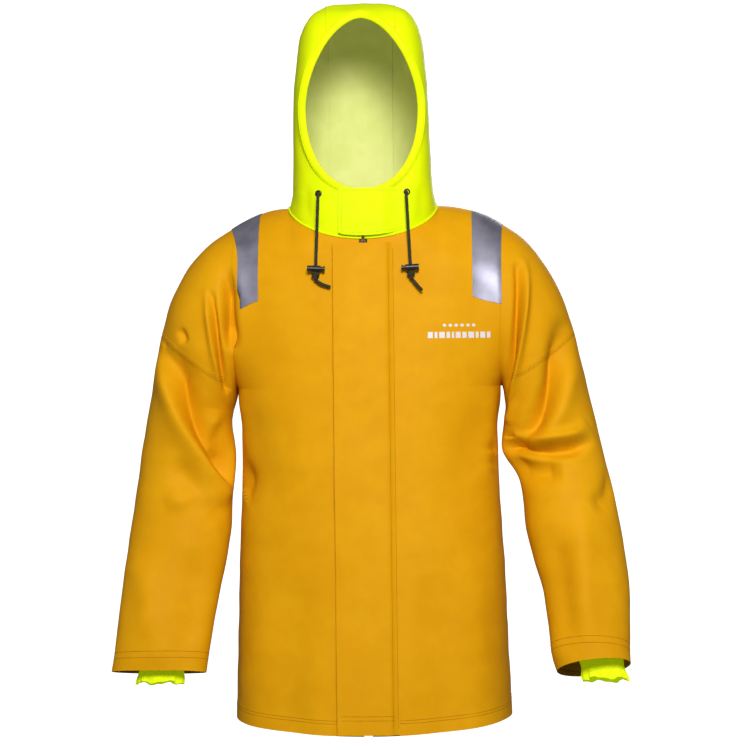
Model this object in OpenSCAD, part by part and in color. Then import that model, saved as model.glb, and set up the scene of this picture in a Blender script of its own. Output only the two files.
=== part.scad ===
// Foul weather jacket: a coated jacket with a hood, a zip under a storm flap and inner storm cuffs.
// It stands in the shape that it has when worn. Millimetres, +Z up, the front faces -Y,
// and the wearer's left is +X. The origin is the middle of the neck, level with the shoulder points.

/* [Bodice] */
// Half of the chest width, side seam to side seam
chest_half = 192; // [170:1:215]
// Half of the hem width
hem_half = 207; // [190:1:230]
// Height of the hem below the neck
hem_drop = 768; // [700:4:860]
// Front depth at the neck seam, measured from the middle plane
front_neck = 108; // [100:1:115]
// Front depth at the hem
front_hem = 138; // [130:1:150]
// Wall of the fabric panels
wall = 2.5; // [2:0.1:3]
// Drop of the neck seam at the centre front
neck_drop = 54; // [45:1:60]
// Half of the neck width
neck_half = 110; // [104:1:116]

/* [Sleeves] */
// Half of the sleeve width at the armhole
sleeve_half = 54.5; // [50:0.5:56]
// Half of the sleeve depth at the armhole
sleeve_depth = 64; // [58:1:68]
// Height of the elbow joint below the neck
elbow_drop = 395; // [380:1:410]

/* [Hood] */
// Top of the hood above the neck
hood_top = 305; // [290:1:320]
// How far the back of the hood turns to the wearer's right
hood_lean = 7; // [0:1:10]
// Half of the face opening's width
face_half = 82; // [76:1:88]
// Half of the face opening's height
face_rise = 122; // [114:1:126]

/* [Storm flap] */
// Free edge of the flap, to the wearer's right of the zip
flap_free = 44; // [40:1:50]
// Sewn edge of the flap, to the wearer's left of the zip
flap_sewn = 42; // [38:1:46]
// Thickness of the flap
flap_thick = 1.6; // [1.2:0.1:2]
// Gap between the flap and the front panels
flap_gap = 5.2; // [5:0.1:7]

/* [Zip] */
// Length of one zip tooth's pitch
tooth_pitch = 6; // [5:0.5:8]
// Width of one zip tape
tape_width = 16; // [14:1:18]

/* [Drawcord] */
// Diameter of the drawcord
cord_d = 4.4; // [4:0.1:5]
// Width of the oval cord stop
stop_width = 26; // [22:1:28]

/* [Cuffs] */
// Half of the inner cuff's width
cuff_half = 37; // [34:1:38]
// How far the inner cuff hangs out of the sleeve
cuff_shows = 19; // [12:1:25]

/* [Hidden] */
mustard = [0.87, 0.58, 0.02];
hi_vis = [0.85, 0.95, 0.05];
black = [0.08, 0.08, 0.09];
silver = [0.72, 0.72, 0.76];
hem_z = -hem_drop;
bulge = 2.4;              // squareness of the body's sections
armhole_x = 197;          // the plane where the shoulder leaves the body
armhole_low = -180;       // lowest point of the armhole
armhole_depth = 85;       // half of the armhole's depth
shoulder_curve = 0.0034;  // how fast the shoulder line falls away from the neck
zip_slope = (front_hem - front_neck) / (hem_drop - neck_drop);
zip_half = 7;             // from the middle to the edge of a front panel
seam = 0.4;               // gap kept between neighbouring panels
joint_gap = 0.9;          // clearance where a sleeve or hood turns on its neighbour

function mix(a, b, t) = a + (b - a) * t;
function clamp01(t) = min(1, max(0, t));
function ease(t) = let (c = clamp01(t)) c * c * (3 - 2 * c);
function unit(v) = v / max(norm(v), 1e-9);
function steps(n) = [for (i = [0 : n]) i / n];
function flip_x(grid) = [for (row = grid) [for (p = row) [-p[0], p[1], p[2]]]];

// ---- the body surface -------------------------------------------------------------------------
function sway(p) = -hood_lean * (1 + p[1] / 100) * ease((p[2] + 80) / 80)
    * (1 - ease((abs(p[0]) - 115) / 70));
function swayed(grid) = [for (row = grid) [for (p = row) [p[0] + sway(p), p[1], p[2]]]];
function half_width(z) = lookup(z, [[-770, hem_half], [-600, chest_half + 5], [-450, chest_half],
    [-285, chest_half + 2], [armhole_low, armhole_x]]);
function front_depth(z) = front_neck + zip_slope * (-neck_drop - z);
function back_depth(z) = lookup(z, [[-770, 126], [-600, 118], [-400, 113], [-160, 118], [-60, 106],
    [10, 98]]);
function ridge(x, front) = x > neck_half ? -shoulder_curve * pow(x - neck_half, 2)
    : (front ? 26 : 30) * (1 - pow(x / neck_half, 2));
function shoulder_line(x) = ridge(max(x, neck_half), true);
arm_top = shoulder_line(armhole_x);
arm_mid = (arm_top + armhole_low) / 2;
arm_semi = (arm_top - armhole_low) / 2;
function roll(x) = 80 - (80 - arm_semi) * pow(min(1, x / armhole_x), 2);
function rolled(h, r) = h >= r ? 1 : sqrt(max(0, 1 - pow(1 - h / r, 2)));
function arm_edge(z) = z <= armhole_low ? 0 : z >= arm_mid ? armhole_depth
    : armhole_depth * sqrt(max(0, 1 - pow((z - arm_mid) / arm_semi, 2)));
function body_y(x, z, front) = let (w = half_width(z), r = clamp01(x / w),
        depth = (front ? front_depth(z) : back_depth(z)) * pow(max(0, 1 - pow(r, bulge)), 1 / bulge),
        y = rolled(ridge(x, front) - z, roll(x)) * norm([depth, arm_edge(z) * pow(r, 3)]))
    front ? -y : y;
function neck_z(x, front) = let (r = sqrt(max(0, 1 - pow(x / neck_half, 2))))
    front ? -neck_drop * pow(r, 1.1) : 6 * r;
function top_z(x, front) = x < neck_half ? neck_z(x, front) - 0.002 : shoulder_line(x) - 0.002;

// ---- thin solids from grids of points ---------------------------------------------------------
function wrap_at(j, m, wrap) = wrap ? (j + m) % m : min(m - 1, max(0, j));
function grid_normal(g, i, j, wrap) = let (n = len(g), m = len(g[0]),
        du = g[min(n - 1, i + 1)][j] - g[max(0, i - 1)][j],
        dv = g[i][wrap_at(j + 1, m, wrap)] - g[i][wrap_at(j - 1, m, wrap)])
    unit(cross(du, dv));
function pushed(g, t, wrap) = [for (i = [0 : len(g) - 1]) [for (j = [0 : len(g[0]) - 1])
    g[i][j] + t * grid_normal(g, i, j, wrap)]];
function flat_list(grid) = [for (row = grid) for (p = row) p];
function quad(a, b, c, d) = [[a, b, c], [a, c, d]];
function turned(faces, flip) = flip ? [for (f = faces) [f[2], f[1], f[0]]] : faces;

// A closed sheet between two grids of the same size.
module between(a, b, wrap = false, flip = false) {
    n = len(a);
    m = len(a[0]);
    s = n * m;
    last = wrap ? m - 1 : m - 2;
    function at(i, j) = i * m + j % m;
    skin = [for (i = [0 : n - 2]) for (j = [0 : last])
        each concat(quad(at(i, j), at(i, j + 1), at(i + 1, j + 1), at(i + 1, j)),
            quad(s + at(i, j), s + at(i + 1, j), s + at(i + 1, j + 1), s + at(i, j + 1)))];
    ends = [for (j = [0 : last])
        each concat(quad(at(0, j), s + at(0, j), s + at(0, j + 1), at(0, j + 1)),
            quad(at(n - 1, j), at(n - 1, j + 1), s + at(n - 1, j + 1), s + at(n - 1, j)))];
    sides = wrap ? [] : [for (i = [0 : n - 2])
        each concat(quad(at(i, 0), at(i + 1, 0), s + at(i + 1, 0), s + at(i, 0)),
            quad(at(i, m - 1), s + at(i, m - 1), s + at(i + 1, m - 1), at(i + 1, m - 1)))];
    polyhedron(concat(flat_list(a), flat_list(b)), turned(concat(skin, ends, sides), flip));
}

// A sheet of a given thickness behind a grid; lift moves it off the grid first.
module sheet(grid, t, lift = 0, wrap = false, flip = false) {
    s = flip ? -1 : 1;
    between(pushed(grid, s * lift, wrap), pushed(grid, s * (lift - t), wrap), wrap, !flip);
}

// A round cord along a list of points, its ends closed.
module cord_tube(path, d, sides = 10) {
    n = len(path);
    rings = [for (i = [0 : n - 1]) let (t = unit(path[min(n - 1, i + 1)] - path[max(0, i - 1)]),
            side = unit(cross(t, abs(t[1]) > 0.9 ? [1, 0, 0] : [0, 1, 0])), up = cross(side, t))
        [for (k = [0 : sides - 1]) let (a = 360 * k / sides)
            path[i] + d / 2 * (cos(a) * side + sin(a) * up)]];
    faces = concat([[for (k = [0 : sides - 1]) k]],
        [for (i = [0 : n - 2]) for (k = [0 : sides - 1]) let (k2 = (k + 1) % sides)
            each quad(i * sides + k, (i + 1) * sides + k, (i + 1) * sides + k2, i * sides + k2)],
        [[for (k = [sides - 1 : -1 : 0]) (n - 1) * sides + k]]);
    polyhedron(flat_list(rings), faces);
}

// ---- bodice -----------------------------------------------------------------------------------
level_z = armhole_low - 4;  // below this the rows of a panel are level
function panel_z(x, k, roll_rows, rows, front) = let (top = top_z(x, front), q = min(1, k / roll_rows),
        round_q = 1 - cos(90 * q), w = clamp01(pow(x / neck_half, 2)))
    k <= roll_rows ? mix(top, level_z, mix(q, round_q, w))
    : mix(level_z, hem_z, (k - roll_rows) / (rows - roll_rows));
function panel_grid(x0, front, roll_rows = 9, rows = 17, columns = 12) = [for (k = [0 : rows])
    [for (u = steps(columns)) let (r = sin(90 * min(u, 0.9995)), xt = mix(x0, armhole_x, r),
            z = panel_z(xt, k, roll_rows, rows, front), x = mix(x0, half_width(z), r))
        [x, body_y(x, z, front), z]]];
module front_panel(side) {
    grid = panel_grid(zip_half, true);
    if (side > 0) sheet(swayed(grid), wall);
    else sheet(swayed(flip_x(grid)), wall, flip = true);
}
module back_panel() {
    half = panel_grid(0, false);
    other = flip_x(half);
    whole = [for (i = [0 : len(half) - 1])
        concat([for (j = [len(half[0]) - 1 : -1 : 1]) half[i][j]], other[i])];
    color(mustard) sheet(swayed(whole), wall);
}

corner = [armhole_x + seam, armhole_low - 4];  // the shoulder turns round this point, in X and Z
function shoulder_out(a) = sleeve_half * 2 + 4 + (arm_top - corner[1] - 4 - sleeve_half * 2)
    * exp(-(90 - a) * PI / 180 / 0.45);
shoulder_pin = [corner[0] + 4 + sleeve_half, -134];
shoulder_r = norm([corner[1] - shoulder_pin[1], sleeve_half]);
function shoulder_ring(a, n) = let (out = shoulder_out(a), semi = (out - 4) / 2,
        depth = mix(sleeve_depth, armhole_depth, a / 90))
    [for (j = [0 : n - 1]) let (t = 360 * j / n, r = 4 + semi + semi * cos(t))
        [corner[0] + r * cos(a), -depth * sin(t), corner[1] + r * sin(a)]];
function arc_ring(r, n) = [for (j = [0 : n - 1]) let (t = 360 * j / n, s = sleeve_half * cos(t))
    [shoulder_pin[0] + s, -sleeve_depth * sin(t), shoulder_pin[1] - sqrt(r * r - s * s)]];
module shoulder(side) {
    grid = concat([for (a = [90 : -12 : 18]) shoulder_ring(a, 24)], [arc_ring(shoulder_r, 24)]);
    if (side > 0) sheet(grid, wall, wrap = true, flip = true);
    else sheet(flip_x(grid), wall, wrap = true);
}

// ---- the front edge: zip, fly, flap -----------------------------------------------------------
function front_y(z) = -front_depth(z);
module along_front(x, y_out, z) translate([x, front_y(z) - y_out, z])
    rotate([-atan(zip_slope), 0, 0]) children();
zip_top = -neck_drop - 5;
zip_bottom = hem_z + 42;
zip_back = -wall - 1.6;  // the zip lies behind the panels
module zip_strip(x0, x1, y0, t, z0, z1) along_front(0, y0, z1)
    translate([x0, -t / 2, 0]) cube([x1 - x0, t, (z0 - z1) / cos(atan(zip_slope))]);
module zip_tape(side) if (side > 0) zip_strip(3.4, 3.4 + tape_width, zip_back, 0.9, zip_top, zip_bottom);
    else zip_strip(-3.4 - tape_width, -3.4, zip_back, 0.9, zip_top, zip_bottom);
zip_teeth = floor((zip_top - zip_bottom - 4) / tooth_pitch);
module zip_comb(side) along_front(0, zip_back, zip_bottom + 2) scale([side, 1, 1]) {
    translate([2.5, -0.9, 0]) cube([0.7, 1.8, zip_teeth * tooth_pitch]);
    for (i = [0 : zip_teeth - 1])
        translate([-1.6, -1.4, i * tooth_pitch + (side > 0 ? 0.3 : tooth_pitch / 2 + 0.3)])
            cube([4.4, 2.8, tooth_pitch / 2 - 0.6]);
}
module zip_top_stops() color(black) for (side = [-1, 1]) along_front(side * 1.9, zip_back, zip_top + 0.6)
    translate([-1.4, -1.6, 0]) cube([2.8, 3.2, 3.6]);
module zip_bottom_box() color(black) along_front(0, zip_back, zip_bottom - 9)
    translate([-5, -2.2, 0]) difference() {
        cube([10, 4.4, 8]);
        translate([2.4, 1.3, 4]) cube([5.2, 1.8, 5]);
    }
module inner_fly() color(mustard) zip_strip(-30, 34, zip_back - 5.2, 1.2, zip_top - 4, hem_z + 8);

slider_z = zip_top - 9;
module zip_slider() color(black) along_front(0, zip_back, slider_z) difference() {
    union() {
        translate([-5.5, -3.6, -8]) cube([11, 7.2, 16]);
        translate([0, -3.4, 3]) rotate([90, 0, 0]) cylinder(d = 6, h = 0.9, $fn = 32);
        for (x = [-2.6, 1.4]) translate([x, -6.2, 0.4]) cube([1.2, 3, 5]);
    }
    translate([-3.8, -1.9, -9]) cube([7.6, 3.8, 18]);
    translate([-6, -0.75, -9]) cube([12, 1.5, 18]);
    translate([-4, -5.2, 3]) rotate([0, 90, 0]) cylinder(d = 1.3, h = 8, $fn = 24);
}
// The pull hangs from a pin between the slider's two ears.
module zip_pull() color(black) along_front(0, zip_back, slider_z) {
    translate([-2.55, -5.2, 3]) rotate([0, 90, 0]) cylinder(d = 1.2, h = 5.1, $fn = 24);
    translate([0, -5.7, -0.2]) rotate([-90, 0, 0]) linear_extrude(1) difference() {
        hull() {
            translate([0, 8]) circle(d = 5, $fn = 24);
            translate([0, 24]) circle(d = 7.4, $fn = 24);
        }
        translate([0, 24]) circle(d = 3, $fn = 24);
    }
    translate([-1, -5.7, -8.2]) cube([2, 1, 11]);
}

function flap_grid(x0, x1, z0, z1, columns, rows) = [for (z = [for (t = steps(rows)) mix(z0, z1, t)])
    [for (x = [for (u = steps(columns)) mix(x0, x1, u)]) [x, body_y(abs(x), z, true), z]]];
flap_top = -neck_drop - 9;
flap_bottom = hem_z + 4;
module storm_flap() color(mustard)
    sheet(flap_grid(-flap_free, flap_sewn, flap_top, flap_bottom, 6, 10), flap_thick,
        lift = flap_gap + flap_thick);
patch_levels = [-140, -290, -440, -590, -700];
module flap_patches(lift, t) for (z = patch_levels)
    sheet(flap_grid(-flap_free + 6, -flap_free + 26, z, z - 50, 2, 2), t, lift = lift);
module flap_loop_patches() color(black) flap_patches(2.3, 2.1);
module flap_hook_patches() color(black) flap_patches(flap_gap - 0.1, 1.8);

module hem_facing() color(mustard) for (side = [-1, 1]) {
    half = [for (z = [hem_z + 28, hem_z + 14, hem_z + 1]) concat(
        [for (u = steps(11)) let (x = mix(22, half_width(z), sin(90 * u))) [x, body_y(x, z, true), z]],
        [for (u = [10 : -1 : 0]) let (x = half_width(z) * sin(90 * u / 11) + (u == 0 ? seam : 0))
            [x, body_y(x, z, false), z]])];
    if (side > 0) sheet(half, 1.2, lift = -wall - seam);
    else sheet(flip_x(half), 1.2, lift = -wall - seam, flip = true);
}

// ---- collar and hood --------------------------------------------------------------------------
hood_pin = [-5, -28];  // the hood tilts about this line, in Y and Z
hood_r = 110;
function hood_w(z) = lookup(z, [[0, 108], [18, 105], [85, 102], [175, 100], [220, 95], [250, 90],
    [265, 86], [280, 78], [288, 71], [295, 59], [301, 44], [303, 37], [hood_top, 20]]);
function hood_back(z) = lookup(z, [[0, 80], [30, 90], [60, 106], [100, 119], [150, 126], [200, 122],
    [240, 110], [265, 95], [285, 76], [295, 62], [303, 40], [hood_top, 28]]);
function hood_front(z) = lookup(z, [[0, 106], [150, 112], [250, 108], [285, 98], [295, 80], [303, 56],
    [hood_top, 40]]);
function hood_pt(t, z) = let (r = pow(sin(t), 0.75)) [hood_w(z) * r, t < 90
    ? -hood_front(z) * pow(max(0, 1 - pow(r, 5)), 0.3) : hood_back(z) * pow(max(0, 1 - pow(r, 2.2)), 0.5), z];
function arc_z(y, r) = hood_pin[1] + sqrt(max(0, r * r - pow(y - hood_pin[0], 2)));
function arc_pt(t, r) = let (y1 = hood_pt(t, arc_z(hood_pt(t, 40)[1], r))[1],
        y2 = hood_pt(t, arc_z(y1, r))[1], p = hood_pt(t, arc_z(y2, r)))
    [p[0], p[1], arc_z(p[1], r)];
function neck_pt(t) = let (x = (neck_half - 0.5) * pow(sin(t), 0.75), front = t < 90,
        z = neck_z(x, front))
    [x, body_y(x, z - 0.01, front), z + 0.8];
function collar_grid(t0, t1, n, rows = 6) = [for (k = steps(rows)) [for (u = steps(n))
    let (t = mix(t0, t1, u)) mix(arc_pt(t, hood_r), neck_pt(t), k)]];
eyelet_t = 31;
function collar_mid(t, k) = mix(arc_pt(t, hood_r), neck_pt(t), k);
eyelet_k = 0.12;
eyelet_at = collar_mid(eyelet_t, eyelet_k);
eyelet_turn = 12;
module at_eyelet(side) translate([side * eyelet_at[0], eyelet_at[1], eyelet_at[2]])
    rotate([90, 0, side * eyelet_turn]) children();
module collar(side) difference() {
    grid = collar_grid(1, 179.6, 22);
    if (side > 0) sheet(swayed(grid), wall);
    else sheet(swayed(flip_x(grid)), wall, flip = true);
    at_eyelet(side) translate([0, 0, -20]) cylinder(d = 7.2, h = 40, $fn = 32);
}
module eyelet(side) color(black) at_eyelet(side) rotate_extrude($fn = 48)
    polygon([[2.7, -3.3], [3.4, -3.3], [3.4, 0.9], [5, 0.9], [4.7, 1.6], [3.2, 2], [2.7, 1.4]]);

chin_hinge_x = 26;
function chin_grid(x0, x1, k0, k1, columns, rows) = [for (k = steps(rows)) [for (u = steps(columns))
    let (x = mix(x0, x1, u), t = asin(pow(abs(x) / (neck_half - 2), 1 / 0.75)),
        p = collar_mid(t, mix(k0, k1, k)))
            [x, p[1], p[2]]]];
module chin_flap() color(hi_vis)
    sheet(swayed(chin_grid(-33, chin_hinge_x - 1.4, 0.02, 0.95, 8, 4)), 1.6, lift = 6.2);
module chin_loop_patch() color(hi_vis) sheet(swayed(chin_grid(-28, -6, 0.25, 0.75, 3, 2)), 1.8, lift = 2.3);
module chin_hook_patch() color(hi_vis) sheet(swayed(chin_grid(-28, -6, 0.25, 0.75, 3, 2)), 1.8, lift = 4.5);

face_mid = 146;  // height of the middle of the face opening
rim_gap = 12;     // from the middle of the casing to the edge of a hood panel
function rim_x(z) = (face_half + rim_gap)
    * sqrt(max(0, 1 - pow((z - face_mid) / (face_rise + rim_gap), 2)));
function rim_t(z) = asin(pow(min(0.999, max(rim_x(z), 32.5) / hood_w(z)), 1 / 0.75));
function hood_low(t) = arc_pt(t, hood_r + joint_gap + 3.2)[2];
module hood_side(side) {
    grid = [for (k = steps(15)) let (q = 1 - pow(1 - k, 1.5), t0 = rim_t(mix(hood_low(20), 303.3, q)),
            t1 = 180 - asin(pow(32.5 / hood_w(mix(58, 303.3, q)), 1 / 0.75)))
        [for (u = steps(12)) let (t = mix(t0, t1, u)) hood_pt(t, mix(hood_low(t), 303.3, q))]];
    if (side > 0) sheet(swayed(grid), wall, flip = true);
    else sheet(swayed(flip_x(grid)), wall);
}
crown_line = [[-105, 277], [-98, 286.5], [-80, 296], [-56, 303], [-20, 305.5], [20, 305.5],
    [40, 303.5], [62, 295.5], [76, 285.5], [95, 265.5], [110, 240.5], [122, 200.5], [126, 150],
    [119, 100], [106, 60], [96, 38]];
module hood_crown() color(hi_vis)
    sheet(swayed([for (p = crown_line) [for (x = [-31 : 15.5 : 31]) let (q = pow(x / 31, 2))
        [x, p[0] * (1 - 0.02 * q), p[1] - 1.6 * q * clamp01((p[1] - 200) / 80)]]]), wall);

hem_tube = 5.5;  // radius of the casing round the face
function rim_y(x, z) = -hood_front(z) * pow(max(0, 1 - pow((x + 3) / hood_w(z), 5)), 0.3);
function face_line(n) = [for (u = steps(n))
    let (a = mix(-57, 237, u), z = face_mid + face_rise * sin(a))
        [face_half * cos(a), rim_y(abs(face_half * cos(a)), z), z]];
function rings_on(path, r, sides) = [for (i = [0 : len(path) - 1])
    let (t = unit(path[min(len(path) - 1, i + 1)] - path[max(0, i - 1)]),
        up = unit(cross(t, [0, 1, 0])), out = cross(up, t))
        [for (k = [0 : sides - 1]) let (a = 360 * k / sides)
            path[i] + r * (cos(a) * up + sin(a) * out)]];
module hood_face_hem() color(hi_vis)
    between(swayed(rings_on(face_line(44), hem_tube, 12)),
        swayed(rings_on(face_line(44), hem_tube - 1.4, 12)), wrap = true, flip = true);
module drawcord_in_hem() color(black) cord_tube(swayed([face_line(60)])[0], cord_d, 8);

// ---- drawcord ends, which hang free from the eyelets ------------------------------------------
cord_y = -116;
cord_x = 64;          // at the eyelet
cord_spread = 0.045;  // how far each cord leans out for each millimetre down
function cord_out(z) = cord_x + cord_spread * (7 - z);
left_bend = [[64, -101, 12.5], [64, -107, 12.5], [64, -110.4, 11.8], [64, -113.4, 9.9],
    [64, -115.3, 7]];
hang = [for (z = [3.5 : -10.6 : -102.5]) [cord_out(z), cord_y, z]];
right_tail = [[-67, cord_y, -114.4], [-61.5, cord_y, -118.6], [-55, cord_y, -121.5],
    [-47.5, cord_y, -124]];
left_tail = [[71.4, cord_y, -114.4], [74.6, cord_y, -119], [79, cord_y, -124.2],
    [85, cord_y, -131]];
module drawcord(run, tail) color(black) {
    cord_tube(run, cord_d, 8);
    cord_tube(tail, cord_d, 8);
}
knot_z = -108.5;
module cord_knot(x) color(black) translate([x, cord_y, knot_z]) sphere(r = 5.2, $fn = 40);
stop_z = -97;
button_travel = 3;
module bean(x0, x1, d, spread) translate([x0, 0, 0]) rotate([0, 90, 0]) linear_extrude(x1 - x0) hull()
    for (s = [-1, 1]) translate([0, s * spread]) circle(d = d, $fn = 32);
module at_stop(side) translate([side * cord_out(stop_z), cord_y, stop_z])
    rotate([0, -side * atan(cord_spread), 0]) scale([-side, 1, 1]) children();
module cord_stop(side) color(black) at_stop(side) difference() {
    bean(-stop_width / 2 + 1, stop_width / 2 - 5.5, 8.6, 1.7);
    bean(-stop_width / 2 + 2.4, stop_width / 2, 6, 1.9);
    cylinder(d = 5.4, h = 20, center = true, $fn = 32);
}
// The button is a tongue with a slot, which the spring holds against the cord.
module stop_button(side) color(black) at_stop(side) difference() {
    union() {
        bean(-6.2, stop_width / 2 - 1.6, 5.2, 1.7);
        bean(stop_width / 2 - 2.2, stop_width / 2, 8, 1.5);
    }
    translate([1.05, 0, 0]) cube([5.6 + button_travel, 5.2, 20], center = true);
}
function coil(turns, r, z0, z1, n) = [for (i = [0 : n]) let (a = 360 * turns * i / n)
    [mix(z0, z1, i / n), r * cos(a), r * sin(a)]];
module stop_spring(side) color(silver) at_stop(side)
    cord_tube(coil(3, 1.9, -stop_width / 2 + 2.8, -6.6, 30), 0.5, 6);

module hanger_loop() color(black) translate([-hood_lean * 1.7, 0, 0]) {
    translate([-30, 62, 8]) cube([60, 1.4, 8]);
    for (x = [-30, 24]) translate([x, 63.4, 8]) cube([6, 2.2, 8]);
}

// ---- reflective tapes, over the shoulders -----------------------------------------------------
tape_half = 25;
tape_mid = 170;
function tape_row(front, q) = [for (u = [-1, -0.5, 0, 0.5, 1]) let (x = tape_mid + u * tape_half,
        z = mix(-148, shoulder_line(x) - 0.3, 1 - pow(1 - q / 8, 1.6))) [x, body_y(x, z, front), z]];
function tape_grid() = concat([for (q = [0 : 8]) tape_row(true, q)],
    [for (q = [8 : -1 : 0]) tape_row(false, q)]);
module reflective_tape(side) {
    if (side > 0) sheet(swayed(tape_grid()), 0.8, lift = 3.6, flip = true);
    else sheet(swayed(flip_x(tape_grid())), 0.8, lift = 3.6);
}

// ---- sleeves ----------------------------------------------------------------------------------
elbow = [283, 5, -elbow_drop];
elbow_r = 100;
elbow_half = 66;
elbow_deep = 60;
left_wrist = [333, -72, -680];
right_wrist = [311, -55, -684];
left_cuff = [46, 62];
right_cuff = [71, 50];
function upper_rings(n, rows) = let (
        start = arc_ring(shoulder_r + joint_gap, n),
        last = [for (j = [0 : n - 1]) let (t = 360 * j / n, s = -elbow_deep * sin(t))
            [elbow[0] + 6 + elbow_half * cos(t), elbow[1] + s,
                elbow[2] - sqrt(pow(elbow_r - joint_gap, 2) - s * s)]])
    [for (k = [0 : rows]) [for (j = [0 : n - 1]) mix(start[j], last[j], k / rows)]];
function fore_dir(wrist) = unit(wrist - elbow);
function fore_back(wrist) = let (d = fore_dir(wrist)) unit([0, -d[2], d[1]]);
function lower_rings(n, rows, wrist, cuff) = let (d = fore_dir(wrist), b = fore_back(wrist),
        l = norm(wrist - elbow), slant = 1 / norm([d[1], d[2]]))
    [for (k = [0 : rows]) [for (j = [0 : n - 1]) let (t = 360 * j / n, q = k / rows,
            s0 = -elbow_deep * sin(t), t0 = sqrt(pow(elbow_r + joint_gap, 2) - s0 * s0) * slant,
            s = -mix(elbow_deep, cuff[1], q) * sin(t))
        elbow + d * mix(t0, l, q) + b * s + [mix(elbow_half, cuff[0], q) * cos(t), 0, 0]]];
module upper_sleeve(side) {
    grid = upper_rings(24, 7);
    if (side > 0) sheet(grid, wall, wrap = true, flip = true);
    else sheet(flip_x(grid), wall, wrap = true);
}
module lower_sleeve(side, wrist, cuff) {
    grid = lower_rings(24, 7, wrist, cuff);
    if (side > 0) sheet(grid, wall, wrap = true, flip = true);
    else sheet(flip_x(grid), wall, wrap = true);
}
module cuff_facing(side, wrist, cuff) {
    rings = lower_rings(24, 10, wrist, cuff);
    grid = [for (q = [0.35, 0.65, 0.98]) [for (j = [0 : 23]) mix(rings[8][j], rings[10][j], q)]];
    if (side > 0) sheet(grid, 1.2, lift = -wall - seam, wrap = true, flip = true);
    else sheet(flip_x(grid), 1.2, lift = -wall - seam, wrap = true);
}
function inner_rings(wrist, n) = let (d = fore_dir(wrist), b = fore_back(wrist))
    [for (q = [-60, -40, -20, 0, cuff_shows]) let (w = cuff_half - (q > 0 ? 3 : 0))
        [for (j = [0 : n - 1]) let (t = 360 * j / n)
            wrist + d * q - b * (w * 0.72) * sin(t) + [w * cos(t), 0, 0]]];
module inner_cuff(side, wrist) {
    grid = inner_rings(wrist, 20);
    if (side > 0) sheet(grid, 3, wrap = true, flip = true);
    else sheet(flip_x(grid), 3, wrap = true);
}

color(mustard) front_panel(1);  // front_panel_left
color(mustard) front_panel(-1);  // front_panel_right
back_panel();
color(mustard) shoulder(1);  // shoulder_left
color(mustard) shoulder(-1);  // shoulder_right
hem_facing();
inner_fly();
color(black) zip_tape(1);  // zip_tape_left
color(black) zip_tape(-1);  // zip_tape_right
color(black) zip_comb(1);  // zip_teeth_left
color(black) zip_comb(-1);  // zip_teeth_right
zip_top_stops();
zip_bottom_box();
flap_loop_patches();
storm_flap();
flap_hook_patches();
zip_slider();
zip_pull();
color(hi_vis) collar(1);  // collar_left
color(hi_vis) collar(-1);  // collar_right
chin_flap();
chin_hook_patch();
chin_loop_patch();
hanger_loop();
eyelet(1);  // eyelet_left
eyelet(-1);  // eyelet_right
drawcord(concat(left_bend, hang), left_tail);  // drawcord_left
drawcord(flip_x([concat(left_bend, hang)])[0], right_tail);  // drawcord_right
cord_knot(cord_out(knot_z));  // cord_knot_left
cord_knot(-cord_out(knot_z));  // cord_knot_right
cord_stop(1);  // cord_stop_left
cord_stop(-1);  // cord_stop_right
stop_button(1);  // stop_button_left
stop_button(-1);  // stop_button_right
stop_spring(1);  // stop_spring_left
stop_spring(-1);  // stop_spring_right
color(hi_vis) hood_side(1);  // hood_side_left
color(hi_vis) hood_side(-1);  // hood_side_right
hood_crown();
hood_face_hem();
drawcord_in_hem();
color(silver) reflective_tape(1);  // reflective_tape_left
color(silver) reflective_tape(-1);  // reflective_tape_right
color(mustard) upper_sleeve(1);  // upper_sleeve_left
color(mustard) upper_sleeve(-1);  // upper_sleeve_right
color(mustard) lower_sleeve(1, left_wrist, left_cuff);  // lower_sleeve_left
color(mustard) lower_sleeve(-1, right_wrist, right_cuff);  // lower_sleeve_right
color(mustard) cuff_facing(1, left_wrist, left_cuff);  // cuff_facing_left
color(mustard) cuff_facing(-1, right_wrist, right_cuff);  // cuff_facing_right
color(hi_vis) inner_cuff(1, left_wrist);  // inner_cuff_left
color(hi_vis) inner_cuff(-1, right_wrist);  // inner_cuff_right
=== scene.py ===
import math

import bpy
import numpy as np
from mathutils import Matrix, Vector
from mathutils.bvhtree import BVHTree


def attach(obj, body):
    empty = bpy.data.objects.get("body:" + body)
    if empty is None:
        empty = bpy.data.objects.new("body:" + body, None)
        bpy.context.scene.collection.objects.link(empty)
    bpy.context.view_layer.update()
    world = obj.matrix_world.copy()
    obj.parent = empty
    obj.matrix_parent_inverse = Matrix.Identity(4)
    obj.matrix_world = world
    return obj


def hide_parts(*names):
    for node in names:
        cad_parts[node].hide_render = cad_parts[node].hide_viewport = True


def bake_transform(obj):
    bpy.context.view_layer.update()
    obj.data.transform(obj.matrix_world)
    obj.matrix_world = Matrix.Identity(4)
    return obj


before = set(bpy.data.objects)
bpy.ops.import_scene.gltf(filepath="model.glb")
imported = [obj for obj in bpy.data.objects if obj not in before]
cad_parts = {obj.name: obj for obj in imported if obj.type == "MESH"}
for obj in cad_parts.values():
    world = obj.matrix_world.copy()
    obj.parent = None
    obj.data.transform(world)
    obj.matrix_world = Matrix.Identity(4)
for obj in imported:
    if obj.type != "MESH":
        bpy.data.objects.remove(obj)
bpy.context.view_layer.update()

# ---- Camera, light and backdrop -----------------------------------------------------------------
# A long lens level with the chest, a little to the wearer's left of the middle, in a white studio:
# a large soft light high in front, one half as strong behind, weak ones at the sides, and a white
# backdrop all round.
camera_distance = 3.1
camera_height = -0.252
camera_turn = math.radians(3.5)
camera_roll = math.radians(0.8)
view_width = 1.125
camera_data = bpy.data.cameras.new("camera")
camera_data.sensor_width = 36
camera_data.lens = 36 * camera_distance / view_width
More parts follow.
